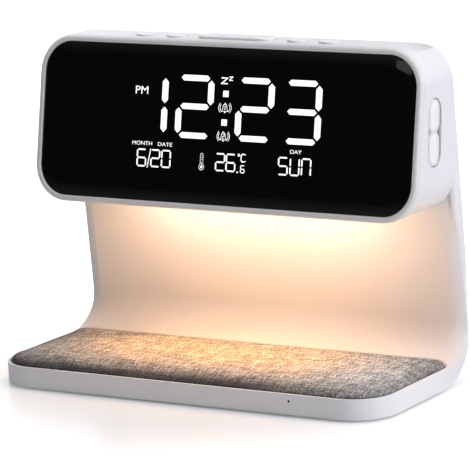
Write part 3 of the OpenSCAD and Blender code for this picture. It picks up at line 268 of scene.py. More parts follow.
def facePiece(name, points, faces, material):
    mesh = bpy.data.meshes.new(name)
    mesh.from_pydata((points*mm).tolist(), [], faces)
    dressMesh(mesh, material, smoothAngle)
    return newPiece(name, mesh)


def quadVolume(points, quads, mid):
    # six times the signed volume between the quads and a middle point
    a, b, c, d = (points[quads[:, q]] - mid for q in range(4))
    return np.einsum("ij,ij->", a, np.cross(b, c)) + np.einsum("ij,ij->", a, np.cross(c, d))


def closedMesh(name, blocks, material):
    # Each block is a stack of closed rings, shape (rings, points, 3), in mm. Quads join ring i to ring i + 1
    # point by point, and one face closes each end; the block is turned over if its signed volume is negative.
    verts, faces, start = [], [], 0
    for rings in blocks:
        m, n = rings.shape[:2]
        flat = rings.reshape(-1, 3)
        i, j = np.meshgrid(np.arange(m - 1), np.arange(n), indexing="ij")
        k = (j + 1) % n
        quads = np.stack([i*n + j, i*n + k, (i + 1)*n + k, (i + 1)*n + j], -1).reshape(-1, 4)
        mid = flat.mean(0)
        volume = quadVolume(flat, quads, mid)
        for ring, sign in ((rings[0] - mid, -1), (rings[-1] - mid, 1)):
            hub = ring.mean(0)
            volume += sign*np.einsum("ij,j->", np.cross(ring, np.roll(ring, -1, 0)), hub)
        first, last = np.arange(n)[::-1], (m - 1)*n + np.arange(n)
        if volume < 0:
            quads, first, last = quads[:, ::-1], first[::-1], last[::-1]
        verts.append(flat)
        faces += (quads + start).tolist() + [(first + start).tolist(), (last + start).tolist()]
        start += len(flat)
    return facePiece(name, np.concatenate(verts), faces, material)


def roundedLoop(halfW, halfH, radii, arc=14, side=1):
    # Four corner arcs joined by straight sides. A point at inset t is centre + (radius - t)*direction,
    # with centre, radius and direction going evenly along each straight side.
    radii = np.broadcast_to(np.asarray(radii, float), (4,))
    signs = np.array([[1, 1], [-1, 1], [-1, -1], [1, -1]], float)
    hubs = signs*(np.array([halfW, halfH]) - radii[:, None])
    turn = np.linspace(0, pi/2, arc + 1)
    step = np.linspace(0, 1, side + 2)[1:-1, None]
    centres, sizes, ways = [], [], []
    for k in range(4):
        way = np.stack([np.cos(turn + k*pi/2), np.sin(turn + k*pi/2)], 1)
        after = (k + 1) % 4
        centres += [np.repeat(hubs[k:k + 1], arc + 1, 0), hubs[k] + step*(hubs[after] - hubs[k])]
        sizes += [np.full(arc + 1, radii[k]), radii[k] + step[:, 0]*(radii[after] - radii[k])]
        ways += [way, np.repeat(way[-1:], side, 0)]
    return np.concatenate(centres), np.concatenate(sizes), np.concatenate(ways)


def insetRings(loop, insets):
    # the loop's outline at each inset, shape (insets, points, 2)
    centres, sizes, ways = loop
    return centres[None] + (sizes[None, :, None] - np.asarray(insets, float)[:, None, None])*ways[None]


def shrinkRings(ring, shares):
    # the outline drawn in towards its middle, as shares of its full size
    return ring[None]*np.asarray(shares, float)[:, None, None]


def quarter(n):
    # n + 1 angles from 0 to a right angle
    return np.linspace(0, pi/2, n + 1)


def revolved(profile, n=48, hub=(0, 0)):
    # a (radius, height) profile turned round the upright line through hub
    r, z = np.asarray(profile, float).T
    w = np.arange(n)*(2*pi/n)
    return np.stack([hub[0] + r[:, None]*np.cos(w), hub[1] + r[:, None]*np.sin(w),
                     np.broadcast_to(z[:, None], (len(r), n))], -1)


# the face of the head: its lean, the foot of its lower edge and its half height
head = {"tilt": 10.7, "footY": -4.426, "footZ": 79.5, "top": 155.0, "half": 38.42, "width": 200.0, "corner": 17.0}


def onFace(x, depth, rise):
    # x stays; depth runs into the head and rise up its face, both turned by the tilt
    t = radians(head["tilt"])
    x, depth, rise = np.broadcast_arrays(x, depth, rise)
    return np.stack([x, head["footY"] + depth*cos(t) + rise*sin(t), head["footZ"] - depth*sin(t) + rise*cos(t)], -1)


def faceY(z):
    return head["footY"] + (z - head["footZ"])*tan(radians(head["tilt"]))


def addPiece(piece, body, stands=()):
    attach(piece, body)
    if stands:
        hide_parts(*stands)


def boxOf(node):
    lo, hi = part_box(node)
    return np.array(lo)/mm, np.array(hi)/mm


def edgeShares(mesh, weight):
    # each sharp outward edge between two faces gets weight(its middle), every other edge 0
    co = readItems(mesh.vertices, "co", 3)/mm
    ends = readItems(mesh.edges, "vertices", 2, np.int32)
    normal = readItems(mesh.polygons, "normal", 3)
    hub = readItems(mesh.polygons, "center", 3)/mm
    total = readItems(mesh.polygons, "loop_total", kind=np.int32)
    edgeOf = readItems(mesh.loops, "edge_index", kind=np.int32)
    faceOf = np.repeat(np.arange(len(total)), total)
    order = np.argsort(edgeOf, kind="stable")
    count = np.bincount(edgeOf, minlength=len(ends))
    first = np.concatenate([[0], np.cumsum(count)[:-1]])
    good = count == 2
    a = faceOf[order[first[good]]]
    b = faceOf[order[first[good] + 1]]
    apart = np.degrees(np.arccos(np.clip(np.einsum("ij,ij->i", normal[a], normal[b]), -1, 1)))
    outward = np.einsum("ij,ij->i", normal[a], hub[b] - hub[a]) < 0
    share = np.zeros(len(ends))
    share[good] = np.where(outward & (apart > sharpAngle), weight(co[ends[good]].mean(1)), 0.0)
    return share


def softenedCopy(node, name, weight, width, material, wall=None):
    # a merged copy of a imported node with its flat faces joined; weight(mid) gives each sharp outward edge its
    # share of the bevel width, and wall gives the stem's front face its rolled side edges
    mesh = nodes[node].data.copy()
    mesh.name = name
    bm = bmesh.new()
    bm.from_mesh(mesh)
    bmesh.ops.remove_doubles(bm, verts=bm.verts, dist=1e-6)
    bmesh.ops.dissolve_limit(bm, angle_limit=radians(0.6), verts=bm.verts, edges=bm.edges)
    if wall:
        cutWall(bm, wall)
    bm.to_mesh(mesh)
    bm.free()
    if wall:
        rollWall(mesh, wall)
    share = edgeShares(mesh, weight)
    mesh.attributes.new("bevel_weight_edge", "FLOAT", "EDGE").data.foreach_set("value", share.astype(np.float32))
    dressMesh(mesh, material, sharpAngle)
    piece = newPiece(name, mesh)
    if share.max() > 0:
        bevel = piece.modifiers.new("softEdges", "BEVEL")
        bevel.limit_method, bevel.width, bevel.segments = "WEIGHT", width*mm, 3
        bevel.harden_normals = True
        even = piece.modifiers.new("evenNormals", "WEIGHTED_NORMAL")
        even.keep_sharp = True
    return piece


shellSet = {"colour": (0.825, 0.822, 0.85), "widest": 0.6, "edge": 0.4, "rim": 0.4, "foot": 0.6, "seam": 0.12,
            "opening": 0.25, "topZ": 154.9, "rimZ": 10.2, "sideX": 99.85, "footZ": 1.05, "rockerX": 97.9,
            "rockerAt": (17.2, 117.2, 16.5), "frameSeam": 3.05, "coverSeam": (88.3, 36.0)}
wallSet = {"at": 41.04, "lean": 4.8, "bend": (21.69, 27.2, 17.0), "rollIn": 90.5, "reach": 7.5, "deep": 1.85,
           "power": 2.2, "near": 0.12, "foot": (10.2, 24.0), "top": (66.0, 79.0),
           "cutsX": (90.5, 92.0, 93.5, 95.0, 96.3, 97.4, 98.3, 99.1), "cutsZ": (67, 70, 72, 74, 76, 78)}
shellWhite = mouldedPlastic("housingWhite", shellSet["colour"], rough=0.36, grain=0.012, vary=0.008, coat=0.05)


def wallPlace(y, z, s):
    # distance from the leaning front face of the stem or from the round bend below it, and the way into it
    bendY, bendZ, bendR = s["bend"]
    lean = radians(s["lean"])
    out = np.hypot(y - bendY, z - bendZ)
    straight = z > bendZ + 1
    gap = np.where(straight, np.abs(y - s["at"] + z*tan(lean))*cos(lean), np.abs(out - bendR))
    return gap, np.where(straight, cos(lean), (y - bendY)/out), np.where(straight, sin(lean), (z - bendZ)/out)


def onWall(y, z, s):
    near = s["near"]
    return (wallPlace(y, z, s)[0] < near) & (z > s["foot"][0] - near) & (z < head["footZ"] + near)


def cutWall(bm, s):
    # extra cuts across the front face of the stem and its bend, near both side edges and under the head
    cuts = [((side*x*mm, 0, 0), (1, 0, 0)) for x in s["cutsX"] for side in (-1, 1)]
    for at, way in cuts + [((0, 0, z*mm), (0, 0, 1)) for z in s["cutsZ"]]:
        hubs = np.array([face.calc_center_median() for face in bm.faces])/mm
        chosen = onWall(hubs[:, 1], hubs[:, 2], s)
        faces = [face for face, use in zip(bm.faces, chosen) if use]
        parts = set(faces) | {e for face in faces for e in face.edges} | {v for face in faces for v in face.verts}
        bmesh.ops.bisect_plane(bm, geom=list(parts), plane_co=at, plane_no=way)


def rollWall(mesh, s):
    # The wall's face rolls away towards both side edges: each point moves into it by deep*(past/reach)^power,
    # past being how far |x| is beyond rollIn, faded out at the foot of the bend and under the head.
    x, y, z = readItems(mesh.vertices, "co", 3).T/mm
    _, inY, inZ = wallPlace(y, z, s)
    foot, top = [np.clip((z - a)/(b - a), 0, 1) for a, b in (s["foot"], s["top"])]
    fade = foot**2*(3 - 2*foot)*(1 - top**2*(3 - 2*top))
    move = s["deep"]*(np.maximum(np.abs(x) - s["rollIn"], 0)/s["reach"])**s["power"]*fade*onWall(y, z, s)
    mesh.vertices.foreach_set("co", (np.stack([x, y + inY*move, z + inZ*move], 1)*mm).ravel())
    mesh.update()


def housingWeight(mid):
    # where two kinds of edge overlap, the later row holds
    x, y, z = mid.T
    s = shellSet
    rockerY, rockerZ, rockerReach = s["rockerAt"]
    coverZ, coverY = s["coverSeam"]
    rows = ((z > s["topZ"], "opening"), (np.abs(z - s["rimZ"]) < 0.06, "rim"), (np.abs(x) > s["sideX"], "edge"),
            ((np.abs(x) > s["rockerX"]) & (np.hypot(y - rockerY, z - rockerZ) < rockerReach), "opening"),
            (z < s["footZ"], "foot"),
            ((np.abs(y - faceY(z) - s["frameSeam"]) < 0.25) & (z > head["footZ"] - 0.5), "seam"),
            ((np.abs(z - coverZ) < 0.2) & (y < coverY), "seam"))
    width = np.zeros(len(mid))
    for here, kind in rows:
        width = np.where(here, s[kind], width)
    return width/s["widest"]


housing = softenedCopy("housing", "housingShell", housingWeight, shellSet["widest"], shellWhite, wallSet)
addPiece(housing, "clock", ["housing"])
print("housing done:", len(housing.data.polygons), "faces")


frameSet = {"border": 2.8, "depth": 3.05, "round": 1.7, "lip": 0.35, "seat": 1.83, "flange": 3.2}
frameWhite = mouldedPlastic("frameWhite", (0.78, 0.775, 0.785), rough=0.3, grain=0.01, vary=0.01, coat=0.15)


def frameRing(s):
    # The head's outline in (x, z) carries a profile of (inset, depth): back of the lip, rounded inner edge,
    # flat front, quarter circle to the outside, straight side and back. Depth is measured along y from the
    # leaning face, y = faceY(z) + depth.
    w = quarter(4)
    v = quarter(8)
    lip, big = s["lip"], s["round"]
    inner = [(s["border"], s["seat"])] + [(s["border"] - lip*(1 - cos(a)), lip*(1 - sin(a))) for a in w]
    outer = [(big*(1 - sin(a)), big*(1 - cos(a))) for a in v]
    within = s["border"] + s["flange"]
    profile = np.array(inner + outer + [(0.0, s["depth"]), (within, s["depth"]), (within, s["seat"])])
    loop = roundedLoop(head["width"]/2, (head["top"] - head["footZ"])/2, head["corner"], arc=20, side=6)
    rings = insetRings(loop, profile[:, 0])
    z = rings[..., 1] + (head["top"] + head["footZ"])/2
    return np.stack([rings[..., 0], faceY(z) + profile[:, 1, None], z], -1)


def loopedMesh(name, rings, material):
    # a stack of rings whose last ring joins its first, as a hollow ring has no ends
    m, n = rings.shape[:2]
    i, j = np.meshgrid(np.arange(m), np.arange(n), indexing="ij")
    k, h = (j + 1) % n, (i + 1) % m
    quads = np.stack([i*n + j, i*n + k, h*n + k, h*n + j], -1).reshape(-1, 4)
    flat = rings.reshape(-1, 3)
    if quadVolume(flat, quads, flat.mean(0)) < 0:
        quads = quads[:, ::-1]
    return facePiece(name, flat, quads.tolist(), material)


frontFrame = loopedMesh("frontFrame", frameRing(frameSet), frameWhite)
addPiece(frontFrame, "clock", ["front_frame"])

lensSet = {"width": 194.4, "height": 71.24, "corner": 14.2, "thick": 1.8, "bevel": 6.5, "drop": 0.85, "power": 1.5,
           "flat": 4.0, "inner": (0.6, 0.25)}


def blackGlass():
    f = Finish("blackGlass", {"IOR": 1.4, "Specular IOR Level": 0.4})
    at, _ = f.place()
    smear = f.noise(at, 0.03, 3.0)
    tone = f.mix(smear, (0.0016, 0.0017, 0.002), (0.0024, 0.0025, 0.0029))
    return f.feed(colour=tone, rough=0.05 + 0.04*smear)


def lensRings(s):
    # The lens outline shrinks while its front rises: height over the back is
    # thick - drop*(1 - t/bevel)^power at an inset of t, then flat to the middle.
    loop = roundedLoop(s["width"]/2, s["height"]/2, s["corner"], arc=20, side=6)
    t = np.concatenate([[0.0, 0.0], np.linspace(0.06, 1, 12)*s["bevel"], [s["bevel"] + s["flat"]]])
    depth = s["drop"]*np.clip(1 - t/s["bevel"], 0, 1)**s["power"]
    depth[0] = s["thick"]
    rings = insetRings(loop, t)
    rings = np.concatenate([rings, shrinkRings(rings[-1], s["inner"])])
    depth = np.concatenate([depth, [0.0, 0.0]])
    return onFace(rings[..., 0], depth[:, None], rings[..., 1] + head["half"])


lens = closedMesh("displayLens", [lensRings(lensSet)], blackGlass())
addPiece(lens, "clock", ["display_lens"])
print("front frame and lens done")


litSet = {"proud": 0.03, "sunk": 0.05, "glow": 0.82}


def litWhite():
    f = Finish("litWhite", {"Roughness": 0.4, "Emission Strength": litSet["glow"]})
    at, _ = f.place()
    cell = f.noise(at, 0.5, 1.0)
    tone = f.mix(cell, (0.93, 0.95, 1.0), (1.0, 1.0, 1.0))
    return f.feed(colour=tone, glow=tone)


def bar(a, b, width):
    # a stroke from a to b with a point at each end, each as long as half the width
    a, b = np.array(a, float), np.array(b, float)
    along = (b - a)/np.linalg.norm(b - a)
    across = np.array([-along[1], along[0]])*width/2
    tip = along*width/2
    return np.array([a, a + tip - across, b - tip - across, b, b - tip + across, a + tip + across])


def bigDigit(left, lit, wide=16.65, rows=(21.3, 8.45, -4.65), upright=3.15, level=2.65, gap=0.8):
    # seven bars between two upright lines and three level lines, named a to g as on any such digit
    top, mid, low = rows
    right = left + wide
    bars = {k: ((left + gap, at), (right - gap, at), level) for k, at in (("a", top), ("g", mid), ("d", low))}
    for k, x, high, foot in (("f", left, top, mid), ("b", right, top, mid), ("e", left, mid, low),
                             ("c", right, mid, low)):
        bars[k] = (x, high - gap), (x, foot + gap), upright
    return [bar(*bars[k]) for k in lit]


def smallDigit(left, low, lit, wide=4.5, tall=7.5, stroke=0.7, gap=0.2):
    return bigDigit(left, lit, wide, (low + tall, low + tall/2, low), stroke, stroke, gap)


def box2(x0, x1, y0, y1):
    return np.array([(x0, y0), (x1, y0), (x1, y1), (x0, y1)], float)


def disc2(x, y, r, n=16):
    w = np.arange(n)*2*pi/n
    return np.stack([x + r*np.cos(w), y + r*np.sin(w)], 1)


def strokeLine(points, width):
    # one slab per leg of a line, each run on at both ends by 0.3 of the width
    p = np.array(points, float)
    out = []
    for a, b in zip(p[:-1], p[1:]):
        along = (b - a)/np.linalg.norm(b - a)
        across = np.array([-along[1], along[0]])*width/2
        a, b = a - along*width*0.3, b + along*width*0.3
        out.append(np.array([a - across, b - across, b + across, a + across]))
    return out


def bellMark(x, y, number):
    # outline of a bell holding its number, with two waves at each side
    w = np.linspace(0, pi, 9)
    dome = np.stack([0.95*np.cos(w), 0.9 + 0.95*np.sin(w)], 1)
    outline = np.concatenate([[(1.9, -1.4)], [(1.15, -0.6)], dome, [(-1.15, -0.6)], [(-1.9, -1.4)], [(1.9, -1.4)]])
    shapes = strokeLine(outline + (x, y), 0.22) + [disc2(x, y - 1.85, 0.34, 10), disc2(x, y + 2.15, 0.26, 8)]
    if number == 2:
        shapes += smallDigit(x - 0.42, y - 0.8, "abged", 0.84, 1.9, 0.24, 0.02)
    else:
        shapes.append(box2(x - 0.16, x + 0.16, y - 0.85, y + 1.2))
    for side in (-1, 1):
        for r, reach in ((2.55, 0.62), (3.3, 0.75)):
            w = np.linspace(-reach, reach, 9)
            shapes += strokeLine(np.stack([x + side*r*np.cos(w), y + 0.2 + r*np.sin(w)*0.95], 1), 0.2)
    return shapes


def thermometerMark(x, low, high):
    # ringed bulb with a dot, and an outlined tube with its column and marks
    w = np.linspace(0, pi, 7)
    tube = np.concatenate([[(x + 0.7, low + 2.4)], np.stack([x + 0.7*np.cos(w), high - 0.8 + 0.7*np.sin(w)], 1),
                           [(x - 0.7, low + 2.4)]])
    ring = np.linspace(-0.8*pi, 0.8*pi, 17)
    bulb = np.stack([x + 1.3*np.sin(ring), low + 1.35 - 1.3*np.cos(ring)], 1)
    shapes = strokeLine(tube, 0.15) + strokeLine(bulb, 0.17)
    shapes += [disc2(x, low + 1.35, 0.62, 16), box2(x - 0.12, x + 0.12, low + 1.8, high - 4.2)]
    return shapes + [box2(x - 0.25, x + 0.4, high - 1.3 - 0.9*k, high - 1.15 - 0.9*k) for k in range(3)]


# where each character stands, in mm from the middle of the face: a digit by its lit bars, left edge and foot
markSet = {"hours": (("bc", -47.65), ("abged", -23.42), ("abged", 8.1), ("abgcd", 32.4)),
           "colon": ((-0.4, 2.45, 13.45, 16.25), (-0.55, 2.3, 0.6, 3.4)), "bells": ((0.9, 8.4, 1), (0.8, -4.4, 2)),
           "snooze": ((-1.7, 19.2, 1.8, 22.2, 0.52), (2.3, 20.8, 4.4, 22.7, 0.38)),
           "small": (("afgedc", -44.2, -19.7), ("abged", -36.8, -19.7), ("abcdef", -31.1, -19.7),
                     ("abged", -2.4, -19.6), ("afgedc", 3.1, -19.6), ("afgcd", 30.2, -19.6),
                     ("bcdef", 36.2, -19.6), ("abcef", 42.1, -19.6)),
           "slash": ((-38.7, -20.2), (-37.2, -11.9)), "thermometer": (-9.9, -19.9, -12.2),
           "point": (9.1, -19.9, 0.4, 12), "tenth": (10.7, -20.0, "afgedc", 1.9, 3.2, 0.42, 0.08), "line": 0.45,
           "celsius": ((12.9, -11.9), (11.4, -11.6), (10.7, -12.4), (10.7, -14.4), (11.4, -15.2), (12.9, -14.9)),
           "ring": (9.5, -12.2, 0.5), "ringLine": 0.28}


def characterShapes(s):
    shapes = sum((bigDigit(left, lit) for lit, left in s["hours"]), [])
    shapes += [box2(*dot) for dot in s["colon"]]
    shapes += sum((bellMark(*bell) for bell in s["bells"]), [])
    for x0, y0, x1, y1, w in s["snooze"]:
        x0, x1, y0, y1 = x0 + 0.2, x1 - 0.2, y0 + w/2, y1 - w/2
        shapes += strokeLine([(x0, y1), (x1, y1), (x0, y0), (x1, y0)], w)
    shapes += sum((smallDigit(left, low, lit) for lit, left, low in s["small"]), [])
    shapes += strokeLine(s["slash"], s["line"]) + thermometerMark(*s["thermometer"])
    shapes += smallDigit(*s["tenth"]) + [disc2(*s["point"])] + strokeLine(s["celsius"], s["line"])
    x, y, r = s["ring"]
    return shapes + strokeLine([(x + r*cos(k*pi/4), y + r*sin(k*pi/4)) for k in range(9)], s["ringLine"])


def characterBlocks(shapes, s):
    # each flat outline stands as a thin slab from just in front of the lens to just behind its face
    depth = np.array([-s["proud"], s["sunk"]])[:, None]
    return [onFace(np.stack([p[:, 0]]*2), depth, np.stack([p[:, 1]]*2) + head["half"]) for p in shapes]


litFinish = litWhite()
marks = closedMesh("litMarks", characterBlocks(characterShapes(markSet), litSet), litFinish)
addPiece(marks, "clock")


def wordPiece(name, s):
    # a word set flat, made a mesh, then fitted to its box and laid on the face: x and y become x and rise
    data = bpy.data.curves.new(name, "FONT")
    data.body, data.align_x, data.align_y, data.extrude = s["word"], "CENTER", "CENTER", 0.5
    holder = newPiece(name, data)
    bpy.context.view_layer.update()
    mesh = bpy.data.meshes.new_from_object(holder)
    bpy.data.objects.remove(holder)
    co = readItems(mesh.vertices, "co", 3)
    lo, hi = co[:, :2].min(0), co[:, :2].max(0)
    flat = (co[:, :2] - (lo + hi)/2)/(hi - lo)*s["size"] + s["at"]
    depth = np.where(co[:, 2] > 0, -litSet["proud"], litSet["sunk"])
    mesh.vertices.foreach_set("co", (onFace(flat[:, 0], depth, flat[:, 1] + head["half"])*mm).ravel())
    mesh.materials.clear()
    mesh.materials.append(litFinish)
    mesh.update()
    addPiece(newPiece(name, mesh), "clock")


wordSets = {"wordPm": {"word": "PM", "at": (-43.5, 14.75), "size": (6.7, 3.5)},
            "wordMonth": {"word": "MONTH", "at": (-41.95, -9.35), "size": (10.6, 1.75)},
            "wordDate": {"word": "DATE", "at": (-29.7, -9.4), "size": (7.6, 1.7)},
            "wordDay": {"word": "DAY", "at": (38.75, -9.25), "size": (5.9, 1.65)}}
for name, settings in wordSets.items():
    wordPiece(name, settings)
print("lit characters done")


keySet = {"dish": 0.3, "edge": 0.5, "raise": 0.8, "stem": 1.6, "flange": 0.9, "lip": 1.1, "wall": 2.0, "play": 0.3,
          "radius": 4.8}
flangeTop = head["top"] - keySet["wall"] - keySet["play"]
keyWhite = mouldedPlastic("keyWhite", (0.87, 0.87, 0.89), rough=0.28, grain=0.008, vary=0.008, coat=0.2)


def dishedKey(node, s):
    # A profile turned round the key's middle: scooped top z = top - dish*(1 - (r/R)^2)^2, rounded edge,
    # side, flange under the wall and the stem.
    lo, hi = boxOf(node)
    hub = (lo + hi)/2
    top, low = hi[2] + s["raise"], lo[2]
    wide = (hi[0] - lo[0])/2 - s["lip"]
    flangeLow = flangeTop - s["flange"]
    r = np.linspace(0.12, wide - s["edge"], 10)
    dish = [(a, top - s["dish"]*(1 - (a/(wide - s["edge"]))**2)**2) for a in r]
    edge = [(wide - s["edge"]*(1 - sin(a)), top - s["edge"]*(1 - cos(a))) for a in quarter(5)[1:]]
    rest = [(wide, flangeTop), (wide + s["lip"], flangeTop), (wide + s["lip"], flangeLow), (s["stem"], flangeLow),
            (s["stem"], low), (0.1, low)]
    return revolved(dish + edge + rest, 48, (hub[0], hub[1]))


for kind in ("alarm", "time", "light", "volume"):
    node = kind + "_button"
    addPiece(closedMesh(kind + "Key", [dishedKey(node, keySet)], keyWhite), kind + "_key", [node])

snoozeSet = {"dish": 0.35, "edge": 0.9, "raise": 1.7}


def snoozeBlocks(s):
    # A stadium outline: its top sinks by dish*(1 - share^2)^2, with share the distance from the middle line,
    # its edge is a quarter circle, and below come the flange and the stem.
    lo, hi = boxOf("snooze_bar")
    hub = (lo + hi)/2
    halfL, halfW = (hi[0] - lo[0])/2 - keySet["lip"], (hi[1] - lo[1])/2 - keySet["lip"]
    loop = roundedLoop(halfL, halfW, halfW, arc=14, side=8)
    top = hi[2] + s["raise"]
    share = np.linspace(0.04, 1, 10)
    insets = (halfW - s["edge"])*(1 - share) + s["edge"]
    heights = top - s["dish"]*(1 - share**2)**2
    edge = quarter(5)[1:]
    insets = np.concatenate([insets, s["edge"]*(1 - np.sin(edge)), [0.0, -keySet["lip"], -keySet["lip"]]])
    flangeLow = flangeTop - keySet["flange"]
    heights = np.concatenate([heights, top - s["edge"]*(1 - np.cos(edge)), [flangeTop, flangeTop, flangeLow]])
    flat = insetRings(loop, insets) + hub[:2]
    cap = np.concatenate([flat, np.broadcast_to(heights[:, None, None], flat.shape[:2] + (1,))], -1)
    stemY = boxOf("alarm_button")[0][1] + keySet["lip"] + keySet["radius"]
    stem = [(keySet["stem"], flangeLow + 0.1), (keySet["stem"], lo[2])]
    return [cap, revolved(stem, 24, (0.0, stemY))]


addPiece(closedMesh("snoozeBar", snoozeBlocks(snoozeSet), keyWhite), "snooze_key", ["snooze_bar"])

rockerSet = {"length": 30.0, "width": 10.2, "thick": 2.4, "tilt": 6.0, "waist": 0.9, "spread": 1.7, "crown": 1.0,
             "proud": 0.6, "aside": 0.4, "edge": 0.6, "lug": 2.6, "lugW": 1.6, "lugL": 1.5, "pinDepth": 4.4,
             "pin": 0.8, "press": 11.0, "pressR": 1.6, "into": 0.1}


def rockerBlocks(s):
    # A pill outline along the leaning line. Its outer face lies at -crown*(share^2) - waist*exp(-(u/spread)^2)
    # behind the wall, with u along the pill, so both ends stand up and the middle is a shallow waist.
    lo, hi = boxOf("side_rocker")
    hub = np.array([hi[0] + s["proud"], (lo[1] + hi[1])/2, (lo[2] + hi[2])/2])
    half = s["width"]/2
    loop = roundedLoop(s["length"]/2, half, half, arc=14, side=30)
    share = np.linspace(0.04, 1, 10)
    insets = (half - s["edge"])*(1 - share) + s["edge"]
    edge = quarter(5)[1:]
    flat = insetRings(loop, np.concatenate([insets, s["edge"]*(1 - np.sin(edge)), [0.0]]))
    sink = np.concatenate([s["crown"]*share**2, s["crown"] + s["edge"]*(1 - np.cos(edge)), [s["thick"]]])[:, None]
    waist = s["waist"]*np.exp(-(flat[..., 0]/s["spread"])**2)
    out = -np.minimum(sink + waist, s["thick"])
    t = radians(s["tilt"])
    u, v = flat[..., 0], flat[..., 1]

    def turned(out, u, v):
        # u runs up the pill, v across it, and both lean by the tilt
        y, z = hub[1] + v*cos(t) + u*sin(t), hub[2] + u*cos(t) - v*sin(t)
        return np.stack(np.broadcast_arrays(hub[0] + out, y, z), -1)

    blocks = [turned(out, u, v + s["aside"])]
    # two square lugs round the pin, then two round ends that press the switches
    square = np.array([(-1, -1), (1, -1), (1, 1), (-1, 1)], float)
    w = np.arange(20)*2*pi/20
    start = s["into"] - s["thick"]
    for side in (-1, 1):
        depths = np.array([start, -s["pinDepth"] - s["pin"]])[:, None]
        blocks.append(turned(depths, square[None, :, 0]*s["lugL"], side*s["lug"] + square[None, :, 1]*s["lugW"]/2))
        depths = np.array([start, lo[0] - hub[0]])[:, None]
        blocks.append(turned(depths, side*s["press"] + s["pressR"]*np.cos(w)[None], s["pressR"]*np.sin(w)[None]))
    return blocks


def rockerWithPaintedShade():
    # glossy white plastic with painted shade that darkens it into the gap round the pill and at the bottom of the
    # waist
    f = Finish("rockerWhite", {"Coat Weight": 0.6, "Coat Roughness": 0.08})
    at, (x, y, z) = f.place()
    fine = f.noise(at, 2.0, 2.0, 0.6)
    # painted shade: the colour darkens as x falls from 100.1 to 98.6, into the gap and the waist
    tone = f.mix((x + 0.15*fine).ease(98.6, 100.1), (0.22, 0.22, 0.26), (0.9, 0.9, 0.91))
    return f.feed(colour=tone, rough=0.13 + 0.03*fine, normal=f.bump(fine, 0.004))


addPiece(closedMesh("sideRocker", rockerBlocks(rockerSet), rockerWithPaintedShade()), "rocker", ["side_rocker"])
print("keys and rocker done")


coverSet = {"glow": 0.55, "middle": (98.0, 60.0), "under": (86.0, 79.6), "front": (2.0, 14.0), "least": 0.15,
            "cold": (0.02, 0.012, 0.008), "warm": (1.0, 0.78, 0.5)}


def milkyCover(s):
    # milk-white cover that glows warm underneath: strongest along its middle and below the seam
    f = Finish("milkyCover", {"Roughness": 0.35, "Emission Strength": s["glow"], "Specular IOR Level": 0.4})
    at, (x, y, z) = f.place()
    cloud = f.noise(at, 0.05, 2.0)
    warm = x.absolute().ease(*s["middle"])*z.ease(*s["under"])*y.ease(*s["front"], s["least"], 1.0)
    tone = f.mix(cloud, (0.86, 0.83, 0.79), (0.88, 0.86, 0.83))
    return f.feed(colour=tone, glow=f.mix(warm, s["cold"], s["warm"]))


lampCover = softenedCopy("lamp_cover", "lampCover", lambda mid: np.zeros(len(mid)), 0.0, milkyCover(coverSet))
addPiece(lampCover, "clock", ["lamp_cover"])


padSet = {"inset": 0.25, "low": 9.25, "side": 10.5, "top": 14.15, "roll": 12.5, "front": 17.65, "back": 8.0,
          "pressure": 3.0, "cap": 0.45, "held": 10.6, "frames": 20, "least": 0.4, "inner": (0.94, 0.04, 16)}


def padRings(s):
    # The recess outline, straight up to the rim, then rolled in: at an angle w of the roll the inset is
    # roll*(1 - cos w) and the height side + (top - side)*sin w; the top is then level.
    lo, hi = boxOf("fabric_pad")
    hub = (lo + hi)/2
    halfX, halfY = (hi[0] - lo[0])/2 - s["inset"], (hi[1] - lo[1])/2 - s["inset"]
    loop = roundedLoop(halfX, halfY, [s["back"], s["back"], s["front"], s["front"]], arc=14, side=30)
    w = quarter(10)
    insets = np.concatenate([[0.0], s["roll"]*(1 - np.cos(w))])
    heights = np.concatenate([[s["low"]], s["side"] + (s["top"] - s["side"])*np.sin(w)])
    sizes = np.minimum(insets[:, None], loop[1][None] - s["least"])
    flat = loop[0][None] + (loop[1][None] - sizes)[..., None]*loop[2][None]
    inner = shrinkRings(flat[-1], np.linspace(*s["inner"]))
    flat = np.concatenate([flat, inner]) + hub[:2]
    heights = np.concatenate([heights, [s["top"]]*len(inner)])
    return np.concatenate([flat, np.broadcast_to(heights[:, None, None], flat.shape[:2] + (1,))], -1)


def puffed(piece, s):
    # The cover is swelled by cloth under pressure for some frames, its foot held. Each point moves by no more
    # than the cap, and the result is kept as the mesh.
    mesh = piece.data
    before = after = readItems(mesh.vertices, "co", 3)
    held = piece.vertex_groups.new(name="held")
    held.add(np.nonzero(before[:, 2] < s["held"]*mm)[0].tolist(), 1.0, "REPLACE")
    cloth = piece.modifiers.new("puff", "CLOTH")
    cloth.settings.quality = 5
    cloth.settings.use_pressure = True
    cloth.settings.uniform_pressure_force = s["pressure"]
    cloth.settings.vertex_group_mass = "held"
    cloth.settings.effector_weights.gravity = 0.0
    cloth.collision_settings.use_collision = False
    scene.frame_start, scene.frame_end = 1, s["frames"]
    for number in range(1, s["frames"] + 1):
        scene.frame_set(number)
    done = piece.evaluated_get(bpy.context.evaluated_depsgraph_get())
    after = readItems(done.data.vertices, "co", 3)
    piece.modifiers.clear()
    scene.frame_set(1)
    move = after - before
    length = np.linalg.norm(move, axis=1, keepdims=True)
    move *= np.minimum(1.0, s["cap"]*mm/np.maximum(length, 1e-9))
    mesh.vertices.foreach_set("co", (before + move).ravel())
    mesh.update()
    smooth = piece.modifiers.new("smooth", "SUBSURF")
    smooth.levels = smooth.render_levels = 1
    print("pad puffed:", len(move), "points, mean move", round(float(length.mean()/mm), 3), "mm")
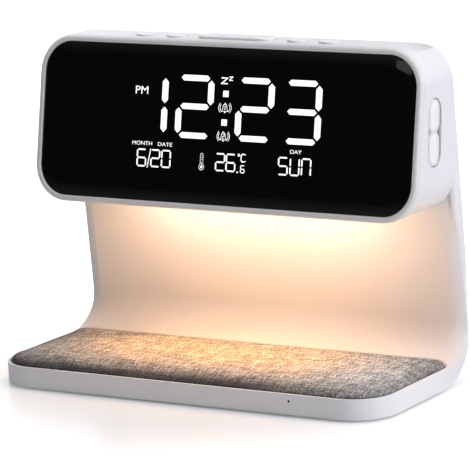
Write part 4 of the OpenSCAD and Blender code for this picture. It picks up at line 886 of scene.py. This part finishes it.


# shade, shadeX and shadeZ set the painted shade on the pad's rolled sides
weaveSet = {"pitch": 1.0, "wobble": 0.4, "fuzz": 0.12, "gap": (0.05, 0.05, 0.052), "gapShare": 0.6,
            "tones": [(0.37, (0.16, 0.156, 0.156)), (0.46, (0.31, 0.30, 0.296)), (0.54, (0.55, 0.54, 0.525)),
                      (0.65, (0.84, 0.83, 0.81))],
            "shade": (0.026, 0.026, 0.03), "shadeX": (25.0, 85.0, 0.88, 0.4), "shadeZ": (11.6, 14.65)}


def linenWeave(s):
    # Plain weave of slubby two-tone yarn. Warp runs along y and weft along x; each yarn has its own number,
    # and its tone changes slowly along its length. Over and under change like a chequer, the gaps between
    # the yarns are dark, and painted shade makes the rolled sides darker than the top, least so at the right end.
    f = Finish("linenWeave", {"Specular IOR Level": 0.15, "Sheen Weight": 0.05, "Sheen Roughness": 0.5})
    at, (x, y, z) = f.place()
    wobble = f.noise(at, 0.35, 2.0) - 0.5
    u, v = ((across + wobble*s["wobble"])/s["pitch"] for across in (x, y))
    warpTone = f.noise(f.vector(u.floor()*7.31, v*0.14, 1.7), 1.0, 3.0, 0.65)
    weftTone = f.noise(f.vector(u*0.12, v.floor()*9.17, 5.3), 1.0, 3.0, 0.65)
    chequer = ((u*pi).sine()*(v*pi).sine()).ease(-0.25, 0.25)
    tone = warpTone*chequer + weftTone*(1 - chequer)
    warpRound, weftRound = (u*pi).sine().absolute(), (v*pi).sine().absolute()
    relief = (warpRound*chequer + weftRound*(1 - chequer))**0.6
    fuzz = f.noise(at, 2.2, 3.0, 0.7)
    light = f.ramp(tone*(1 - s["fuzz"]) + fuzz*s["fuzz"], s["tones"])
    yarn = f.mix(relief.ease(0.3, 0.8), f.mix(s["gapShare"], light, s["gap"]), light)
    # painted shade: below shadeZ the rolled sides darken towards the shade colour, less so towards +x
    sides = f.mix(x.ease(*s["shadeX"]), yarn, s["shade"])
    colour = f.mix(z.ease(*s["shadeZ"]), sides, yarn)
    return f.feed(colour=colour, rough=0.82 + 0.12*fuzz, normal=f.bump(relief + fuzz*0.5, 0.22))


pad = closedMesh("fabricPad", [padRings(padSet)], linenWeave(weaveSet))
puffed(pad, padSet)
addPiece(pad, "clock", ["fabric_pad"])
print("pad done")


coilMiddle = (boxOf("charging_coil")[0] + boxOf("charging_coil")[1])/2


def smokedPipe():
    f = Finish("smokedPipe", {"IOR": 1.45})
    at, _ = f.place()
    cloud = f.noise(at, 0.8)
    return f.feed(colour=f.mix(cloud, (0.02, 0.02, 0.022), (0.05, 0.05, 0.055)), rough=0.12 + 0.1*cloud)


finishes = {
    "shell": shellWhite,
    "tray": mouldedPlastic("trayGrey", (0.52, 0.52, 0.53), rough=0.5, grain=0.03, vary=0.03),
    "display": mouldedPlastic("displayBlack", (0.02, 0.02, 0.025), rough=0.25, grain=0.004, vary=0.2, coat=0.3),
    "guide": mouldedPlastic("guideClear", (0.75, 0.78, 0.8), rough=0.12, grain=0.004, vary=0.03, coat=0.4),
    "board": circuitBoard("mainBoardGreen", (0.012, 0.09, 0.035)),
    "lampBoard": circuitBoard("lampBoardWhite", (0.62, 0.63, 0.62)),
    "switch": mouldedPlastic("switchBlack", (0.03, 0.03, 0.032), rough=0.45, grain=0.02, vary=0.15),
    "pin": brushedMetal("pinSteel", (0.62, 0.62, 0.63), along=1),
    "steel": brushedMetal("screwSteel", (0.56, 0.56, 0.58), along=0),
    "ballast": brushedMetal("ballastSteel", (0.36, 0.37, 0.39), rough=0.45, along=0, scratch=0.03),
    "socket": brushedMetal("socketSteel", (0.66, 0.66, 0.67), rough=0.28, along=2),
    "contact": brushedMetal("contactGold", (0.78, 0.58, 0.28), rough=0.25, along=0),
    "cell": brushedMetal("cellSteel", (0.7, 0.7, 0.69), rough=0.2, along=2),
    "reflector": mouldedPlastic("reflectorWhite", (0.88, 0.88, 0.87), rough=0.22, grain=0.006, vary=0.01, coat=0.2),
    "chip": mouldedPlastic("chipAmber", (0.85, 0.62, 0.18), rough=0.35, grain=0.02, vary=0.06),
    "wire": mouldedPlastic("wireRed", (0.45, 0.03, 0.025), rough=0.4, grain=0.02, vary=0.1),
    "coilWire": mouldedPlastic("coilLead", (0.5, 0.2, 0.07), rough=0.35, grain=0.02, vary=0.1),
    "ribbon": flatCable("cableGrey", (0.55, 0.55, 0.56)),
    "speaker": mouldedPlastic("speakerBlack", (0.035, 0.035, 0.037), rough=0.55, grain=0.05, vary=0.2),
    "foot": softRubber("footRubber", (0.045, 0.045, 0.047)),
    "ferrite": softRubber("ferriteGrey", (0.06, 0.06, 0.065)),
    "coil": woundCopper("coilCopper", coilMiddle),
    "pipe": smokedPipe(),
    "sensor": mouldedPlastic("sensorBrown", (0.2, 0.09, 0.04), rough=0.3, grain=0.01, vary=0.1, coat=0.3),
}
nodesOf = {
    "tray": ["display_chassis", "rocker_bracket", "speaker_clamp", "coil_carrier", "pad_plate"],
    "display": ["lcd_panel"], "guide": ["light_guide"],
    "board": ["main_board", "button_board", "rocker_board", "inlet_board", "charger_board"],
    "sensor": ["temperature_sensor"], "switch": ["button_switches", "cell_holder"],
    "ribbon": ["button_cable", "rocker_cable", "stem_ribbon"], "pin": ["rocker_pin"],
    "reflector": ["lamp_reflector"], "lampBoard": ["lamp_board"], "chip": ["lamp_chips"],
    "wire": ["lamp_wires", "speaker_wires", "inlet_wires"], "shell": ["rear_cover", "cell_door", "base_cover"],
    "speaker": ["speaker"], "socket": ["inlet_socket"], "cell": ["coin_cell"], "contact": ["cell_contacts"],
    "foot": ["rubber_feet"], "ballast": ["ballast_plate"], "ferrite": ["ferrite_sheet"], "coil": ["charging_coil"],
    "coilWire": ["coil_wires"], "pipe": ["light_pipe"],
    "steel": ["rear_screws", "base_screws", "frame_screws", "board_screws", "speaker_screws"],
}
finishOf = {node: finishes[kind] for kind, group in nodesOf.items() for node in group}
# the replaced nodes, which are never seen, are plain grey
spare = mouldedPlastic("spareGrey", (0.5, 0.5, 0.5))
for node in sorted(nodes):
    nodes[node].data.materials.clear()
    nodes[node].data.materials.append(finishOf.get(node, spare))
print("finishes done")


# lamps: place, target and size in mm, power in watts; a glossOnly lamp lights gloss alone, a strip all but gloss
studio = {"world": 0.145, "floorGlow": 0.15, "near": 60, "far": 240, "floor": 0.86, "gloss": 0.05,
          "lamps": {
              "overhead": {"at": (100, 60, 900), "to": (0, 0, 60), "size": (900, 700), "power": 3.8},
              "right": {"at": (900, 0, 420), "to": (0, 0, 80), "size": (700, 700), "power": 4.9,
                        "colour": (0.93, 0.93, 1)},
              "front": {"at": (500, -900, 500), "to": (0, 0, 60), "size": (600, 500), "power": 0.6},
              "glint": {"at": (-210, -894, 560), "to": (92, 0, 148), "size": (240, 150), "power": 0.17,
                        "glossOnly": True}},
          "strips": {
              "padRight": {"at": (80, -14, 76), "to": (82, -8, 14), "size": (44, 20), "power": 0.004,
                           "colour": (0.84, 0.92, 1), "spread": 76},
              "topLeft": {"at": (-110, 20, 250), "to": (-100, 15, 155), "size": (90, 60), "power": 0.013,
                          "colour": (0.97, 0.96, 1), "spread": 110},
              "near": {"at": (0, 16, 78.9), "to": (0, 34, 50), "size": (120, 8), "power": 0.036,
                       "colour": (1.0, 0.7, 0.6)},
              "far": {"at": (0, -4, 78.6), "to": (0, 32, 25), "size": (172, 12), "power": 0.062,
                      "colour": (1.0, 0.47, 0.07)},
              "front": {"at": (0, -2, 78.4), "to": (0, -5, 10), "size": (112, 12), "power": 0.034,
                        "colour": (1.0, 0.42, 0.06), "spread": 72}}}


def buildFloor(s):
    # a wide plane; its camera ray gets a little light of its own, so the floor is white and keeps the shadow
    f = Finish("floorWhite", {"Roughness": 0.22, "Specular IOR Level": 0.25})
    at, (x, y, z) = f.place()
    drift = f.noise(at, 0.004)
    f.feed(colour=f.mix(drift, (s["floor"],)*3, (s["floor"] + 0.02,)*3))
    away = (x*x + y*y)**0.5
    seen = f.node("ShaderNodeLightPath", {}, {}, "Is Camera Ray")
    power = seen*away.ease(s["near"], s["far"], s["floorGlow"], 1.0)
    glow = f.node("ShaderNodeEmission", {}, {"Color": (1, 1, 1), "Strength": power})
    both = f.node("ShaderNodeAddShader", {}, {0: Value(f, f.shader.outputs[0]), 1: glow})
    f.tree.links.new(both.socket, f.output.inputs[0])
    mesh = bpy.data.meshes.new("studioFloor")
    mesh.from_pydata([(-8, -8, 0), (8, -8, 0), (8, 8, 0), (-8, 8, 0)], [], [(0, 1, 2, 3)])
    mesh.materials.append(f.material)
    newPiece("studioFloor", mesh)


def buildWorld(s):
    # even light from all round; the camera, gloss and glass see a white room, dark where the lens mirrors it
    world = bpy.data.worlds.new("studioWorld")
    world.use_nodes = True
    f = NodeMaker(world.node_tree)
    out = f.tree.nodes.new("ShaderNodeOutputWorld")
    kinds = ("Is Camera Ray", "Is Transmission Ray", "Is Glossy Ray")
    seen, glass, gloss = (f.node("ShaderNodeLightPath", {}, {}, kind) for kind in kinds)
    way = f.node("ShaderNodeTexCoord", {}, {}, "Generated")
    x, y, z = (f.node("ShaderNodeSeparateXYZ", {}, {0: way}, k) for k in range(3))
    room = x.ease(-0.2, 0.7).atLeast(y.ease(-0.55, 0.1)).atLeast(z.ease(0.3, 0.8))
    mirror = gloss*(s["gloss"] + (1 - s["gloss"])*room)
    white = f.node("ShaderNodeBackground", {}, {"Color": (1, 1, 1), "Strength": seen.atLeast(glass).atLeast(mirror)})
    light = f.node("ShaderNodeBackground", {}, {"Color": (0.97, 0.975, 1), "Strength": s["world"]})
    share = seen.atLeast(glass).atLeast(gloss)
    mix = f.node("ShaderNodeMixShader", {}, {0: share, 1: light, 2: white})
    f.tree.links.new(mix.socket, out.inputs[0])
    scene.world = world


def buildLamp(name, s, hidden=False):
    data = bpy.data.lights.new(name, "AREA")
    data.shape, data.size, data.size_y = "RECTANGLE", s["size"][0]*mm, s["size"][1]*mm
    data.energy, data.color, data.spread = s["power"], s.get("colour", (1, 1, 1)), radians(s.get("spread", 180))
    lamp = newPiece(name, data)
    at, to = np.array(s["at"], float)*mm, np.array(s["to"], float)*mm
    look = (to - at)/np.linalg.norm(to - at)
    side = np.cross(look, (0, 1, 0) if abs(look[2]) > 0.9 else (0, 0, 1))
    side /= np.linalg.norm(side)
    up = np.cross(side, look)
    lamp.matrix_world = Matrix([[side[i], up[i], -look[i], at[i]] for i in range(3)] + [[0, 0, 0, 1]])
    lamp.visible_camera = False
    lamp.visible_glossy = not hidden
    lamp.visible_diffuse = not s.get("glossOnly", False)


buildFloor(studio)
buildWorld(studio)
for name, settings in studio["lamps"].items():
    buildLamp(name + "Lamp", settings)
for name, settings in studio["strips"].items():
    buildLamp(name + "Strip", settings, hidden=True)
print("studio done")
